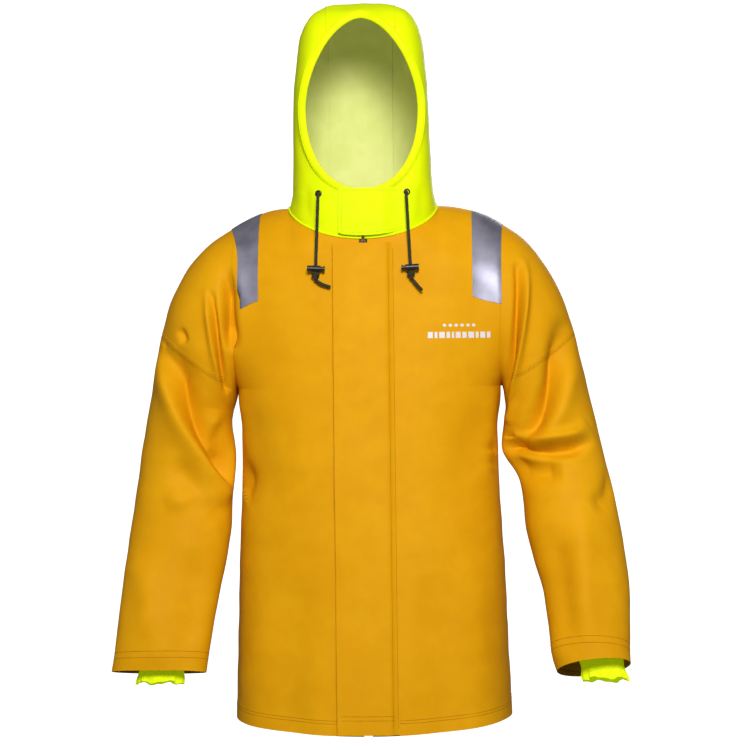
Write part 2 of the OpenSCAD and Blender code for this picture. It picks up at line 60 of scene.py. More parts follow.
camera = bpy.data.objects.new("camera", camera_data)
bpy.context.scene.collection.objects.link(camera)
camera_back = Vector((math.sin(camera_turn), -math.cos(camera_turn), 0))
camera_side = Vector((math.cos(camera_turn), math.sin(camera_turn), 0))
camera.location = camera_back * camera_distance + camera_side * 0.008 + Vector((0, 0, camera_height))
camera.rotation_euler = (math.pi / 2, camera_roll, camera_turn)
bpy.context.scene.camera = camera
bpy.context.scene.view_settings.view_transform = "Standard"


def area_light(name, place, aim, size, power):
    data = bpy.data.lights.new(name, "AREA")
    data.shape = "RECTANGLE"
    data.size, data.size_y = size
    data.energy = power
    light = bpy.data.objects.new(name, data)
    light.location = place
    light.rotation_euler = (Vector(aim) - Vector(place)).to_track_quat("-Z", "Y").to_euler()
    bpy.context.scene.collection.objects.link(light)


area_light("key_light", (0.35, -2.85, 0.9), (0, 0, -0.25), (0.8, 0.7), 93)
area_light("back_light", (0.4, 3.0, 0.8), (0, 0, -0.25), (1.6, 1.2), 42)
area_light("left_light", (-2.6, -0.9, 0.2), (0, 0, -0.3), (0.8, 2.0), 4)
area_light("right_light", (2.6, -0.9, 0.2), (0, 0, -0.3), (0.8, 2.0), 2)
world = bpy.data.worlds.new("studio")
world.use_nodes = True
world.node_tree.nodes["Background"].inputs[0].default_value = (0.96, 0.97, 1, 1)
world.node_tree.nodes["Background"].inputs[1].default_value = 0.16
bpy.context.scene.world = world


class Link:
    """A socket of a material, so that shader maths is written as plain Python expressions."""

    def __init__(self, tree, socket):
        self.tree, self.socket = tree, socket

    def node(self, kind, inputs=(), out=0, **settings):
        made = self.tree.nodes.new("ShaderNode" + kind)
        for key, value in settings.items():
            setattr(made, key, value)
        for key, value in dict(inputs).items():
            if isinstance(value, Link):
                self.tree.links.new(value.socket, made.inputs[key])
            else:
                made.inputs[key].default_value = value
        return Link(self.tree, made.outputs[out])

    def maths(self, operation, a, b):
        return self.node("Math", {0: a, 1: b}, operation=operation)

    def __add__(self, other): return self.maths("ADD", self, other)
    def __radd__(self, other): return self.maths("ADD", other, self)
    def __sub__(self, other): return self.maths("SUBTRACT", self, other)
    def __rsub__(self, other): return self.maths("SUBTRACT", other, self)
    def __mul__(self, other): return self.maths("MULTIPLY", self, other)
    def __rmul__(self, other): return self.maths("MULTIPLY", other, self)

    def mixed(self, low, high):
        """The colour that goes from low to high as this value goes from 0 to 1."""
        return self.node("Mix", {0: self, 6: low, 7: high}, out=2, data_type="RGBA")

    def ramped(self, low, high):
        """0 below low, 1 above high, smooth between."""
        return self.node("MapRange", {0: self, 1: low, 2: high}, interpolation_type="SMOOTHSTEP")


def new_material(name, **shader):
    """A material, its shader's constants set, and a Link that makes its nodes."""
    made = bpy.data.materials.new(name)
    made.use_nodes = True
    surface = made.node_tree.nodes["Principled BSDF"]
    for key, value in shader.items():
        surface.inputs[key.replace("_", " ")].default_value = value
    return made, surface, Link(made.node_tree, None)


def feed(surface, graph, **sockets):
    for key, value in sockets.items():
        graph.tree.links.new(value.socket, surface.inputs[key.replace("_", " ")])


def noise(graph, scale, detail=2.0, where=None):
    place = where or graph.node("TexCoord", out=3)
    return graph.node("TexNoise", {"Vector": place, "Scale": scale, "Detail": detail})


backdrop_material, surface, graph = new_material("backdrop", Roughness=1.0, Emission_Color=(1, 1, 1, 1),
                                                 Emission_Strength=1.05)
feed(surface, graph, Base_Color=noise(graph, 0.6).mixed((0.93, 0.93, 0.93, 1), (0.96, 0.96, 0.96, 1)))
backdrop_radius, around = 9, 24
backdrop_rings = [[(backdrop_radius * math.cos(up) * math.cos(turn),
                    backdrop_radius * math.cos(up) * math.sin(turn), backdrop_radius * math.sin(up))
                   for turn in np.linspace(0, 2 * math.pi, around, endpoint=False)]
                  for up in np.linspace(-1.56, 1.56, 13)]
backdrop_mesh = bpy.data.meshes.new("backdrop")
backdrop_mesh.from_pydata([point for ring in backdrop_rings for point in ring], [],
                          [(i * around + k, i * around + (k + 1) % around,
                            (i + 1) * around + (k + 1) % around, (i + 1) * around + k)
                           for i in range(len(backdrop_rings) - 1) for k in range(around)])
backdrop_mesh.materials.append(backdrop_material)
backdrop = bpy.data.objects.new("backdrop", backdrop_mesh)
bpy.context.scene.collection.objects.link(backdrop)
smoothing = backdrop.modifiers.new("smooth", "SUBSURF")
smoothing.levels = smoothing.render_levels = 3
backdrop.visible_diffuse = backdrop.visible_glossy = backdrop.visible_shadow = False

# ---- Drawcord ends ------------------------------------------------------------------------------
# A braided black cord with an elastic core leaves the hood's casing at an eyelet on each side of
# the chin and hangs free, through its cord stop, to an overhand knot with a short tail.
MM = 0.001
cord_thick = 4.4
cord_x, cord_y, cord_spread = 64, -116, 0.045
knot_z = -108.5


def cord_out(z):
    return cord_x + cord_spread * (7 - z)


cord_bend = [(64, -101, 12.5), (64, -107, 12.5), (64, -110.4, 11.8), (64, -113.4, 9.9), (64, -115.3, 7)]
cord_hang = [(cord_out(3.5 - 10.6 * i), cord_y, 3.5 - 10.6 * i) for i in range(11)]
cord_tails = {1: [(71.4, cord_y, -114.4), (74.6, cord_y, -119), (79, cord_y, -124.2), (85, cord_y, -131)],
              -1: [(67, cord_y, -114.4), (61.5, cord_y, -118.6), (55, cord_y, -121.5), (47.5, cord_y, -124)]}
side_names = {1: "left", -1: "right"}

braid, surface, graph = new_material("braided_cord", Roughness=0.62, Specular_IOR_Level=0.2)
place = graph.node("TexCoord", out=3)
strand_a = graph.node("TexWave", {"Vector": place, "Scale": 190.0}, bands_direction="DIAGONAL")
strand_b = graph.node("TexWave", {"Vector": place, "Scale": 170.0}, bands_direction="Z")
strands = strand_a * 0.6 + strand_b * 0.4
feed(surface, graph, Base_Color=strands.mixed((0.012, 0.013, 0.008, 1), (0.05, 0.055, 0.035, 1)),
     Normal=graph.node("Bump", {"Height": strands, "Strength": 0.7, "Distance": 0.0006}))


def mesh_object(name, vertices, faces, materials, indices=None, normals=None, smooth=True):
    """A mesh object from points in millimetres."""
    data = bpy.data.meshes.new(name)
    data.from_pydata((np.asarray(vertices) * MM).tolist(), [], [tuple(int(i) for i in f) for f in faces])
    for one in materials:
        data.materials.append(one)
    if indices is not None:
        data.polygons.foreach_set("material_index", np.asarray(indices, np.int32))
    data.polygons.foreach_set("use_smooth", np.full(len(data.polygons), smooth))
    if normals is not None:
        data.normals_split_custom_set_from_vertices(np.asarray(normals, float).tolist())
    data.update()
    made = bpy.data.objects.new(name, data)
    bpy.context.scene.collection.objects.link(made)
    return made


def placed(piece, replaced=(), body=None, bend=None):
    """Hides the CAD nodes that a piece stands for, hangs it on its body, and bakes its transform when a bend
    is given.
    """
    if replaced:
        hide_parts(*replaced)
    if body:
        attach(piece, body)
    if bend:
        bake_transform(piece)
    return piece


def spline(points, count):
    """A smooth curve through points, evenly spread along its length; rows may hold more than a place."""
    points = np.asarray(points, float)
    ends = np.vstack([2 * points[0] - points[1], points, 2 * points[-1] - points[-2]])
    t = np.linspace(0, len(points) - 1, max(count * 4, 200))
    k = np.minimum(t.astype(int), len(points) - 2)
    f = (t - k)[:, None]
    a, b, c, d = ends[k], ends[k + 1], ends[k + 2], ends[k + 3]
    dense = 0.5 * (2 * b + (c - a) * f + (2 * a - 5 * b + 4 * c - d) * f**2 + (3 * b - a - 3 * c + d) * f**3)
    length = np.concatenate([[0], np.cumsum(np.linalg.norm(np.diff(dense[:, :3], axis=0), axis=1))])
    even = np.linspace(0, length[-1], count)
    return np.stack([np.interp(even, length, dense[:, i]) for i in range(dense.shape[1])], 1)


def grid_faces(rows, columns, wrap, start=0):
    index = start + np.arange(rows * columns).reshape(rows, columns)
    here = index if wrap else index[:, :-1]
    after = np.roll(index, -1, axis=1) if wrap else index[:, 1:]
    return np.stack([here[:-1], after[:-1], after[1:], here[1:]], -1).reshape(-1, 4)


def tube(path, radius, sides, closed=False):
    """The rings and faces of a round cord along path; radius may vary along it."""
    path = np.asarray(path, float)
    if closed:
        tangent = np.roll(path, -1, 0) - np.roll(path, 1, 0)
    else:
        tangent = np.gradient(path, axis=0)
    tangent /= np.linalg.norm(tangent, axis=1)[:, None]
    side = np.zeros_like(path)
    guess = np.array([0.0, 1.0, 0.0]) if abs(tangent[0][1]) < 0.9 else np.array([1.0, 0.0, 0.0])
    for i, t in enumerate(tangent):
        guess = guess - t * (guess @ t)
        guess /= np.linalg.norm(guess)
        side[i] = guess
    other = np.cross(tangent, side)
    angle = np.linspace(0, 2 * math.pi, sides, endpoint=False)
    radius = np.broadcast_to(radius, (len(path),))
    rings = path[:, None] + radius[:, None, None] * (
        np.cos(angle)[None, :, None] * side[:, None] + np.sin(angle)[None, :, None] * other[:, None])
    faces = grid_faces(len(path), sides, True).tolist()
    if closed:
        last, first = (len(path) - 1) * sides, 0
        faces += [(last + k, last + (k + 1) % sides, (k + 1) % sides, k) for k in range(sides)]
    else:
        faces += [list(range(sides))[::-1], list(range((len(path) - 1) * sides, len(path) * sides))]
    return rings.reshape(-1, 3), faces


def joined(parts):
    """Several lots of points and faces as one."""
    points, faces, start = [], [], 0
    for some, its_faces in parts:
        points.append(some)
        faces += [[i + start for i in f] for f in its_faces]
        start += len(some)
    return np.vstack(points), faces


cord_pieces = {}
for side in (1, -1):
    route = cord_bend + cord_hang + [(cord_out(knot_z), cord_y, knot_z)] + cord_tails[side]
    route = [(side * x, y, z) for x, y, z in route]
    curve = spline(route, 90)
    tip = np.full(len(curve), cord_thick / 2)
    tip[-3:] = (2.3, 2.2, 1.7)
    points, faces = tube(curve, tip, 12)
    name = side_names[side]
    cord_end = mesh_object("drawcord_end_" + name, points, faces, [braid])
    placed(cord_end, ["drawcord_" + name], "torso")
    # an overhand knot, pulled tight
    turn = np.linspace(0, 2 * math.pi, 61)[:-1]
    loops = np.stack([2.5 * np.sin(turn) + 1.7 * np.sin(2 * turn), 2.1 * np.sin(3 * turn),
                      2.3 * np.cos(turn) - 2.0 * np.cos(2 * turn)], 1)
    points, faces = tube(loops + [side * cord_out(knot_z), cord_y, knot_z], 2.35, 10, closed=True)
    knot = mesh_object("cord_knot_piece_" + name, points, faces, [braid])
    placed(knot, ["cord_knot_" + name], "torso")
    cord_pieces[side] = (cord_end, knot, curve)

# ---- Coated fabric ------------------------------------------------------------------------------
# The jacket is cut from polyester coated with polyurethane: matt mustard outside with a faint
# pebbled grain, and inside the brown-yellow of the bare cloth, darkened with painted shade.


def coated(name, colour, shade, inside=False, **shader):
    made, surface, graph = new_material(name, Roughness=0.5, Specular_IOR_Level=0.07, **shader)
    cloudy = noise(graph, 9.0, 3.0)
    grain = noise(graph, 900.0, 2.0)
    weave = noise(graph, 2600.0, 1.0)
    rub = noise(graph, 42.0, 4.0)
    tone = (cloudy * 0.55 + rub * 0.45).ramped(0.36, 0.66)
    feed(surface, graph, Base_Color=tone.mixed(shade, colour),
         Roughness=0.5 + rub * 0.12 + grain * 0.06,
         Normal=graph.node("Bump", {"Height": grain * 0.7 + weave * 0.3, "Distance": 0.00022,
                                    "Strength": 0.5 if inside else 0.32}))
    return made


mustard = coated("mustard_coating", (0.76, 0.36, 0.003, 1), (0.72, 0.325, 0.002, 1))
# the inside colour: the bare cloth's brown-yellow, made darker as painted shade for the shadowed insides
mustard_back_with_painted_shade = coated("mustard_cloth_back_with_painted_shade", (0.30, 0.13, 0.012, 1), (0.25, 0.105, 0.01, 1), True)
# the hi-vis pigment is fluorescent; the weak emission on both faces is a painted glow, lit whatever light
# falls on them
hi_vis = coated("hi_vis_coating", (0.78, 0.90, 0.001, 1), (0.70, 0.86, 0.0, 1),
                Emission_Color=(0.8, 1.0, 0.0, 1), Emission_Strength=0.07)
hi_vis_back = coated("hi_vis_cloth_back", (0.68, 0.71, 0.26, 1), (0.62, 0.66, 0.21, 1), True,
                     Emission_Color=(0.85, 0.88, 0.35, 1), Emission_Strength=0.06)

fabric = 1.3  # millimetres, with its coating


def lookup(z, table):
    """A smooth value for each height from a short table of heights and values."""
    heights, values = zip(*sorted(table))
    return sum(np.interp(np.asarray(z, float) + d, heights, values) for d in (-12, -6, 0, 6, 12)) / 5


def ease(t):
    t = np.clip(t, 0, 1)
    return t * t * (3 - 2 * t)


def mix(a, b, t):
    return a + (b - a) * t


def side_normals(points, wrap, centre):
    """Face normals of a grid, turned away from centre, and whether the grid had to be flipped."""
    after = np.roll(points, -1, axis=1) if wrap else points[:, 1:]
    here = points if wrap else points[:, :-1]
    faces = np.cross(after[1:] - here[:-1], here[1:] - after[:-1])
    middle = (here[:-1] + after[1:]) / 2
    flip = (faces * (middle - centre)).sum() < 0
    return (-faces if flip else faces), flip


def shared_normals(grids):
    """Smooth normals for several grids that meet edge to edge. Each grid is (points, wrap, centre)."""
    keys, sums = [], []
    flips = []
    for points, wrap, centre in grids:
        faces, flip = side_normals(points, wrap, centre)
        total = np.zeros_like(points)
        if wrap:
            total[:-1] += faces + np.roll(faces, 1, axis=1)
            total[1:] += faces + np.roll(faces, 1, axis=1)
        else:
            total[:-1, :-1] += faces
            total[:-1, 1:] += faces
            total[1:, :-1] += faces
            total[1:, 1:] += faces
        keys.append(np.round(points.reshape(-1, 3) * 20).astype(np.int64))
        sums.append(total.reshape(-1, 3))
        flips.append(flip)
    unique, where = np.unique(np.vstack(keys), axis=0, return_inverse=True)
    where = where.reshape(-1)
    merged = np.zeros((len(unique), 3))
    np.add.at(merged, where, np.vstack(sums))
    merged /= np.maximum(np.linalg.norm(merged, axis=1), 1e-9)[:, None]
    spread, out, start = merged[where], [], 0
    for points, _, _ in grids:
        count = points.shape[0] * points.shape[1]
        out.append(spread[start:start + count].reshape(points.shape))
        start += count
    return out, flips


def thickened(points, normals, flip, wrap, thick):
    """The points of a grid and of its inner face, then the outer, inner and edge faces."""
    rows, columns = points.shape[:2]
    count = rows * columns
    outer = grid_faces(rows, columns, wrap)
    outer = outer[:, ::-1] if flip else outer
    index = np.arange(count).reshape(rows, columns)
    if wrap:
        loops = [np.append(loop, loop[0]) for loop in (index[0], index[-1][::-1])]
    else:
        loops = [np.concatenate([index[0], index[1:, -1], index[-1, -2::-1], index[-2::-1, 0]])]
    rims = np.vstack([np.stack([loop[1:], loop[:-1], loop[:-1] + count, loop[1:] + count], -1)
                      for loop in loops])
    vertices = np.vstack([points.reshape(-1, 3), (points - thick * normals).reshape(-1, 3)])
    return vertices, outer, outer[:, ::-1] + count, rims[:, ::-1] if flip else rims


def cloth(name, points, normals, flip, wrap, thick, outside, inside):
    """A panel of fabric of real thickness: its outer face, its inner face and its cut edges."""
    vertices, outer, inner, rims = thickened(points, normals, flip, wrap, thick)
    slots = np.concatenate([np.zeros(len(outer)), np.ones(len(inner)), np.zeros(len(rims))])
    both = np.vstack([normals.reshape(-1, 3), -normals.reshape(-1, 3)])
    return mesh_object(name, vertices, np.vstack([outer, inner, rims]), [outside, inside], slots, both)


def waves(points, size, seed):
    """Smooth uneven waves of about one size, from -1 to 1, the same each time."""
    chance = np.random.RandomState(seed)
    total = 0
    for _ in range(9):
        way = chance.normal(size=3)
        way *= 2 * math.pi / size * chance.uniform(0.6, 1.4) / np.linalg.norm(way)
        total = total + np.sin(points @ way + chance.uniform(0, 6.28))
    return total / 4.2


crease = 1.35  # how much sharper the folds stand than their listed depths


def fold(x, z, line, depth, flanks, ends=(0.0, 0.0)):
    """How far a fold along a line lifts the cloth; flanks are its widths right and left of the line."""
    line = spline([(a, b, 0) for a, b in line], 26)[:, :2]
    best = np.full(x.shape, 1e9)
    signed = np.zeros(x.shape)
    along = np.zeros(x.shape)
    for i in range(len(line) - 1):
        a, d = line[i], line[i + 1] - line[i]
        length = np.linalg.norm(d)
        t = np.clip(((x - a[0]) * d[0] + (z - a[1]) * d[1]) / length**2, 0, 1)
        off_x, off_z = x - a[0] - t * d[0], z - a[1] - t * d[1]
        far = np.hypot(off_x, off_z)
        closer = far < best
        best = np.where(closer, far, best)
        signed = np.where(closer, np.sign(d[0] * off_z - d[1] * off_x) * far, signed)
        along = np.where(closer, (i + t) / (len(line) - 1), along)
    width = np.where(signed < 0, flanks[0], flanks[1])
    strength = np.interp(along, [0, 0.25, 0.75, 1], [ends[0], 1, 1, ends[1]])
    return crease * depth * strength * np.exp(-((best / width) ** 2))


# ---- Bodice -------------------------------------------------------------------------------------
# Two front panels and a back panel of coated fabric, welded at the sides and over the shoulders.
# They stand as worn: flat across the chest, with the stiff cloth bulging a little towards the hem.
neck_half, neck_drop = 110, 54
armhole_x, armhole_low, armhole_depth = 197, -270, 85
shoulder_slope = -0.0034
arm_top = shoulder_slope * (armhole_x - neck_half) ** 2
arm_mid, arm_semi = (arm_top + armhole_low) / 2, (arm_top - armhole_low) / 2
arm_rows, low_rows, bodice_columns = 72, 116, 52
zip_half = 6


def half_width(z):
    return lookup(z, [(-780, 207), (-590, 200), (-400, 192), (-320, 191), (-288, 197), (0, 197)])


def ridge(x, front):
    over = np.maximum(x - neck_half, 0)
    rise = (26 if front else 30) * (1 - (x / neck_half) ** 2)
    return np.where(x > neck_half, shoulder_slope * over**2, rise)


def neck_z(x, front):
    r = np.sqrt(np.clip(1 - (x / neck_half) ** 2, 0, 1))
    return -neck_drop * r**1.1 if front else 6 * r


def body_y(x, z, front):
    r = np.clip(x / half_width(z), 0, 1)
    if front:
        depth = 108 + 0.042 * (-neck_drop - z)
    else:
        depth = lookup(z, [(-770, 124), (-600, 117), (-400, 112), (-160, 117), (-60, 106), (10, 98)])
    depth = depth * np.clip(1 - r**2.4, 0, 1) ** (1 / 2.4)
    edge = np.where(z > arm_mid, armhole_depth,
                    armhole_depth * np.sqrt(np.clip(1 - ((z - arm_mid) / arm_semi) ** 2, 0, 1)))
    edge = np.where(z > armhole_low, edge, 0)
    roll = 80 - (80 - arm_semi) * np.clip(x / armhole_x, 0, 1) ** 2
    h = np.clip((ridge(x, front) - z) / roll, 0, 1)
    y = np.sqrt(1 - (1 - h) ** 2) * np.hypot(depth, edge * r**3)
    return -y if front else y


def sway(points):
    """The whole hood and neck are turned a little to the wearer's right."""
    shift = ease((points[..., 2] + 80) / 80) * (1 - ease((abs(points[..., 0]) - 115) / 70))
    out = points.copy()
    out[..., 0] -= 7 * (1 + points[..., 1] / 100) * shift
    return out


def bodice_grid(start, front):
    u = np.sin(np.linspace(0, math.pi / 2, bodice_columns))[None, :]
    k = np.linspace(0, 1, arm_rows + 1)[:, None]
    across = mix(start, armhole_x, u)
    top = np.where(across < neck_half, neck_z(across, front), ridge(across, front))
    round_k = mix(k, (1 - np.cos(math.pi * k)) / 2, (across / armhole_x) ** 2)
    upper_z = mix(top, armhole_low, round_k)
    upper_x = mix(start, half_width(upper_z), u)
    upper_x[:, -1] = armhole_x
    down = np.linspace(0, 1, low_rows + 1)[1:, None]
    hem = -758 - 12.5 * np.clip(1 - (across / armhole_x) ** 2, 0, 1)
    lower_z = mix(armhole_low, hem, down)
    lower_x = mix(start, half_width(lower_z), u)
    x, z = np.vstack([upper_x, lower_x]), np.vstack([upper_z, lower_z])
    y = body_y(x, z, front)
    y[:, -1] = np.where(z[:, -1] < armhole_low + 0.01, 0, y[:, -1])
    return np.stack([x, y, z], -1)


# The sleeves' outlines: outer edge x and z, inner edge x and z, middle y, half depth, lean in degrees.
sleeve_outline = {
    -1: [(197, arm_top, 197, -270, 0, 85, 0), (235, -50, 199, -278, 0, 84, 0),
         (264, -80, 201, -286, 0, 82, 0), (290, -122, 203, -293, 0, 79, 0),
         (305, -158, 205, -299, 0, 76, 0), (316, -200, 207, -306, 0, 73, 0),
         (331, -282, 209, -325, -2, 69, 0), (346, -372, 203, -372, -8, 62, 4),
         (353, -430, 207, -430, -18, 57, 8), (360, -485, 210, -485, -30, 50, 11),
         (371, -570, 224, -570, -50, 42, 13), (378, -656, 238, -656, -68, 35, 13),
         (382, -685, 243, -686, -72, 31, 13)],
    1: [(197, arm_top, 197, -270, 0, 85, 0), (233, -52, 199, -278, 0, 84, 0),
        (260, -86, 200, -285, 0, 82, 0), (283, -125, 201, -292, 0, 79, 0),
        (299, -165, 202, -299, 0, 76, 0), (312, -210, 202, -306, 0, 73, 0),
        (327, -282, 199, -325, -2, 68, 0), (347, -372, 197, -368, -10, 62, 5),
        (358, -417, 222, -412, -20, 58, 12), (371, -485, 233, -485, -42, 55, 18),
        (380, -570, 254, -570, -66, 50, 24), (378, -655, 264, -655, -87, 44, 25),
        (378, -674, 272, -684, -92, 42, 25)]}
sleeve_rings = 158


def sleeve_grid(side):
    rows = np.array(sleeve_outline[side], float)
    outline = spline(rows[:, [0, 1, 4, 2, 3, 5, 6]], sleeve_rings)
    outer, inner = outline[:, [0, 1]], outline[:, [3, 4]]
    middle_y, depth, lean = outline[:, 2], outline[:, 5], np.radians(outline[:, 6])
    t = (math.pi * np.arange(2 * arm_rows) / arm_rows)[None, :]
    centre, half = (outer + inner) / 2, (outer - inner) / 2
    x = centre[:, :1] + half[:, :1] * np.cos(t)
    z = centre[:, 1:] + half[:, 1:] * np.cos(t) + (depth * np.sin(lean))[:, None] * np.sin(t)
    y = middle_y[:, None] - (depth * np.cos(lean))[:, None] * np.sin(t)
    return np.stack([x, y, z], -1), np.stack([centre[:, 0], middle_y, centre[:, 1]], -1)[:, None, :]


# Each fold: its line in x and z, how far it lifts the cloth, its flanks, and its strength at its ends.
front_folds = {
    -1: [([(204, -100), (201, -135), (199, -178), (196, -215)], -11, (9, 8), (0.2, 0)),
         ([(226, -132), (222, -165), (216, -215), (210, -268)], -7, (4, 7), (0.5, 0.6)),
         ([(232, -128), (229, -168), (223, -220), (216, -268)], 5, (7, 6), (0.3, 0.3)),
         ([(303, -212), (283, -252), (262, -305), (232, -360), (203, -402)], -14, (28, 9), (0.2, 1)),
         ([(316, -214), (297, -256), (276, -310), (246, -366), (216, -412)], 6, (7, 20), (0.2, 0.8)),
         ([(279, -180), (272, -190), (268, -202)], -4, (6, 6), (0, 0)),
         ([(290, -372), (262, -410), (232, -446)], -4, (16, 20), (0, 0.3)),
         ([(222, -430), (262, -428), (300, -440)], 3, (14, 16), (0.6, 0)),
         ([(222, -300), (232, -345), (216, -372)], 4, (10, 14), (0, 0)),
         ([(355, -500), (330, -560), (320, -640)], 3, (22, 22), (0, 0.4)),
         ([(262, -500), (258, -580), (270, -660)], -3, (18, 22), (0, 0.5))],
    1: [([(231, -92), (233, -130), (228, -190), (216, -262), (204, -320)], 6, (9, 6), (0.2, 0.5)),
        ([(224, -98), (225, -140), (219, -200), (208, -262), (200, -305)], -9, (6, 6), (0.5, 0.7)),
        ([(289, -190), (277, -255), (260, -302), (238, -336), (216, -352)], -13, (15, 15), (0.3, 0.6)),
        ([(300, -225), (288, -275), (270, -318), (240, -346)], 5, (9, 18), (0, 0.3)),
        ([(214, -347), (255, -348), (300, -342), (322, -325)], 8, (20, 9), (0.7, 0)),
        ([(204, -368), (245, -370), (300, -366), (330, -350)], -11, (7, 20), (1, 0)),
        ([(205, -392), (240, -398), (285, -396)], -7, (14, 22), (1, 0)),
        ([(312, -440), (310, -520), (314, -625)], 4, (20, 20), (0, 0.5)),
        ([(262, -470), (276, -540), (290, -640)], -3, (18, 20), (0, 0.4)),
        ([(366, -400), (352, -430), (325, -450)], -4, (14, 14), (0.8, 0))]}
back_folds = [([(200, -120), (202, -190), (200, -250)], -6, (8, 8), (0.2, 0.4)),
              ([(300, -215), (268, -280), (236, -345), (205, -400)], -7, (10, 20), (0, 0.8)),
              ([(320, -380), (270, -405), (220, -420)], -6, (12, 16), (0, 0.7)),
              ([(310, -430), (270, -450), (225, -470)], 4, (14, 16), (0, 0.5)),
              ([(140, -60), (120, -160), (118, -300)], 3, (20, 26), (0, 0)),
              ([(60, -560), (66, -650), (72, -768)], 4, (24, 30), (0, 1)),
              ([(130, -540), (142, -650), (150, -768)], -4, (26, 26), (0, 1))]
body_folds = [([(150, -500), (160, -620), (165, -768)], 3.5, (26, 30), (0, 1)),
              ([(95, -540), (102, -650), (108, -768)], -3, (24, 26), (0, 1)),
              ([(178, -300), (150, -380), (120, -470)], -2.5, (26, 30), (0.4, 0)),
              ([(150, -70), (130, -130), (125, -230)], 2.0, (26, 30), (0, 0)),
              ([(188, -262), (186, -340), (176, -420)], 3, (14, 18), (0.3, 0))]
front_crease = 1.5  # and the sleeves' front folds again, over the crook of the arm


def drape(points, normals):
    """How far the cloth of the bodice and the sleeves is pushed out or in at each point."""
    x, y, z = points[..., 0], points[..., 1], points[..., 2]
    lift = 1.7 * waves(points, 210, 3) + 0.55 * waves(points, 70, 5) + 0.12 * waves(points, 24, 8)
    lift = lift * ease((-z - 20) / 60 + 0.15)
    to_front, to_back = ease((-normals[..., 1] - 0.05) / 0.5), ease((normals[..., 1] - 0.05) / 0.5)
    for side in (1, -1):
        here = (x * side > 0) * 1.0
        for line, depth, flanks, ends in front_folds[side]:
            lift = lift + front_crease * here * to_front * fold(abs(x), z, line, depth, flanks, ends)
        for line, depth, flanks, ends in back_folds:
            lift = lift + here * to_back * fold(abs(x) + 6 * side, z, line, depth, flanks, ends)
    for line, depth, flanks, ends in body_folds:
        lift = lift + to_front * (abs(x) < armhole_x + 8) * fold(abs(x + 4), z, line, depth, flanks, ends)
    lift = lift * (1 - 0.8 * to_front * (1 - ease((abs(x) - 40) / 40)))
    return lift * ease((neck_half * 1.02 - np.hypot(x, y * 0.9)) / -16 + (z < -70) * 2)


def mirrored(grid, side):
    return grid * [side, 1, 1]


names, grids = [], []
for side in (1, -1):
    for front in (True, False):
        names.append(("front" if front else "back", side))
        panel = sway(mirrored(bodice_grid(zip_half if front else 0, front), side))
        grids.append((panel, False, np.array([0, 0, -400.0])))
    points, centre = sleeve_grid(side)
    names.append(("sleeve", side))
    centre = mirrored(centre, side)
    grids.append((mirrored(points, side), True, centre[1:] * 0.5 + centre[:-1] * 0.5))
plain, _ = shared_normals(grids)
grids = [(points + normals * drape(points, normals)[..., None], wrap, centre)
         for (points, wrap, centre), normals in zip(grids, plain)]
smooth, flips = shared_normals(grids)
shell = {name: (grid[0], out, flip) for name, grid, out, flip in zip(names, grids, smooth, flips)}

for side, name in side_names.items():
    points, normals, flip = shell[("front", side)]
    panel = cloth("front_panel_piece_" + name, points, normals, flip, False, fabric, mustard, mustard_back_with_painted_shade)
    placed(panel, ["front_panel_" + name], "torso")
    "zip_tape_" + name
left_back, left_normals, back_flip = shell[("back", 1)]
right_back, right_normals, _ = shell[("back", -1)]
whole = np.concatenate([right_back[:, :0:-1], left_back], axis=1)
whole_normals = np.concatenate([right_normals[:, :0:-1], left_normals], axis=1)
back_piece = cloth("back_panel_piece", whole, whole_normals, back_flip, False, fabric, mustard, mustard_back_with_painted_shade)
placed(back_piece, ["back_panel"], "torso")

# ---- Sleeves ------------------------------------------------------------------------------------
# Each sleeve is a tube of the same fabric, set low on the arm with a stitched drop-shoulder seam.
# It is made in two pieces, parted at the elbow.
elbow_z = -418


def shoulder_bend(side):
    """Where the sleeve goes over from riding on the bodice to riding on the arm."""
    pin, way = np.array([0.2559 * side, 0, -0.134]), np.array([side * 0.94, 0, -0.342])
    return "torso", "upper_sleeve_" + side_names[side], pin - 0.004 * way, pin + 0.048 * way


cut_ring = {}
for side, name in side_names.items():
    points, normals, flip = shell[("sleeve", side)]
    cut = cut_ring[side] = int(np.argmin(abs(points[:, :, 2].mean(axis=1) - elbow_z)))
    top = cloth("upper_sleeve_piece_" + name, points[:cut + 1], normals[:cut + 1], flip, True, fabric,
                mustard, mustard_back_with_painted_shade)
    placed(top, ["shoulder_" + name, "upper_sleeve_" + name], bend=shoulder_bend(side))
    low = cloth("lower_sleeve_piece_" + name, points[cut:], normals[cut:], flip, True, fabric,
                mustard, mustard_back_with_painted_shade)
    placed(low, ["lower_sleeve_" + name, "cuff_facing_" + name],
           bend=("upper_sleeve_" + name, "lower_sleeve_" + name, (0, 0, -0.422), (0, 0, -0.50)))

# ---- Hood and collar ----------------------------------------------------------------------------
# Hi-vis fabric in three panels: two sides, each in one with its half of the collar, and a strip
# over the crown from the brow to the neck. Their seams are welded and taped on the inside.
crown_half = 50
face_mid, face_up, face_down, face_half = 138, 130, 121, 83
hood_low, hood_top, crown_top = 15, 302.5, 295.9


def hood_w(z):
    return np.interp(z, *zip((0, 108), (18, 105), (85, 102), (175, 100), (220, 95), (250, 90), (263, 86),
                             (277, 78), (285, 71), (292, 59), (296, 50), (298.5, 42), (300.5, 33), (302, 18),
                             (302.5, 2)))


def smoothed(z, table):
    heights, values = zip(*table)
    reach = np.clip((hood_top - np.asarray(z, float)) * 0.8, 0.2, 12)
    return sum(np.interp(z + reach * d, heights, values) for d in (-1, -0.5, 0, 0.5, 1)) / 5


def hood_back(z):
    return smoothed(z, [(0, 80), (30, 90), (60, 106), (100, 119), (150, 126), (200, 122), (240, 110),
                        (263, 95), (282, 76), (292, 60), (298, 43), (301, 28), (302.5, 6)])


def hood_front(z):
    return smoothed(z, [(0, 106), (150, 112), (250, 107), (267, 101), (280, 89), (290, 70), (297, 50),
                        (301, 32), (302.5, 8)])


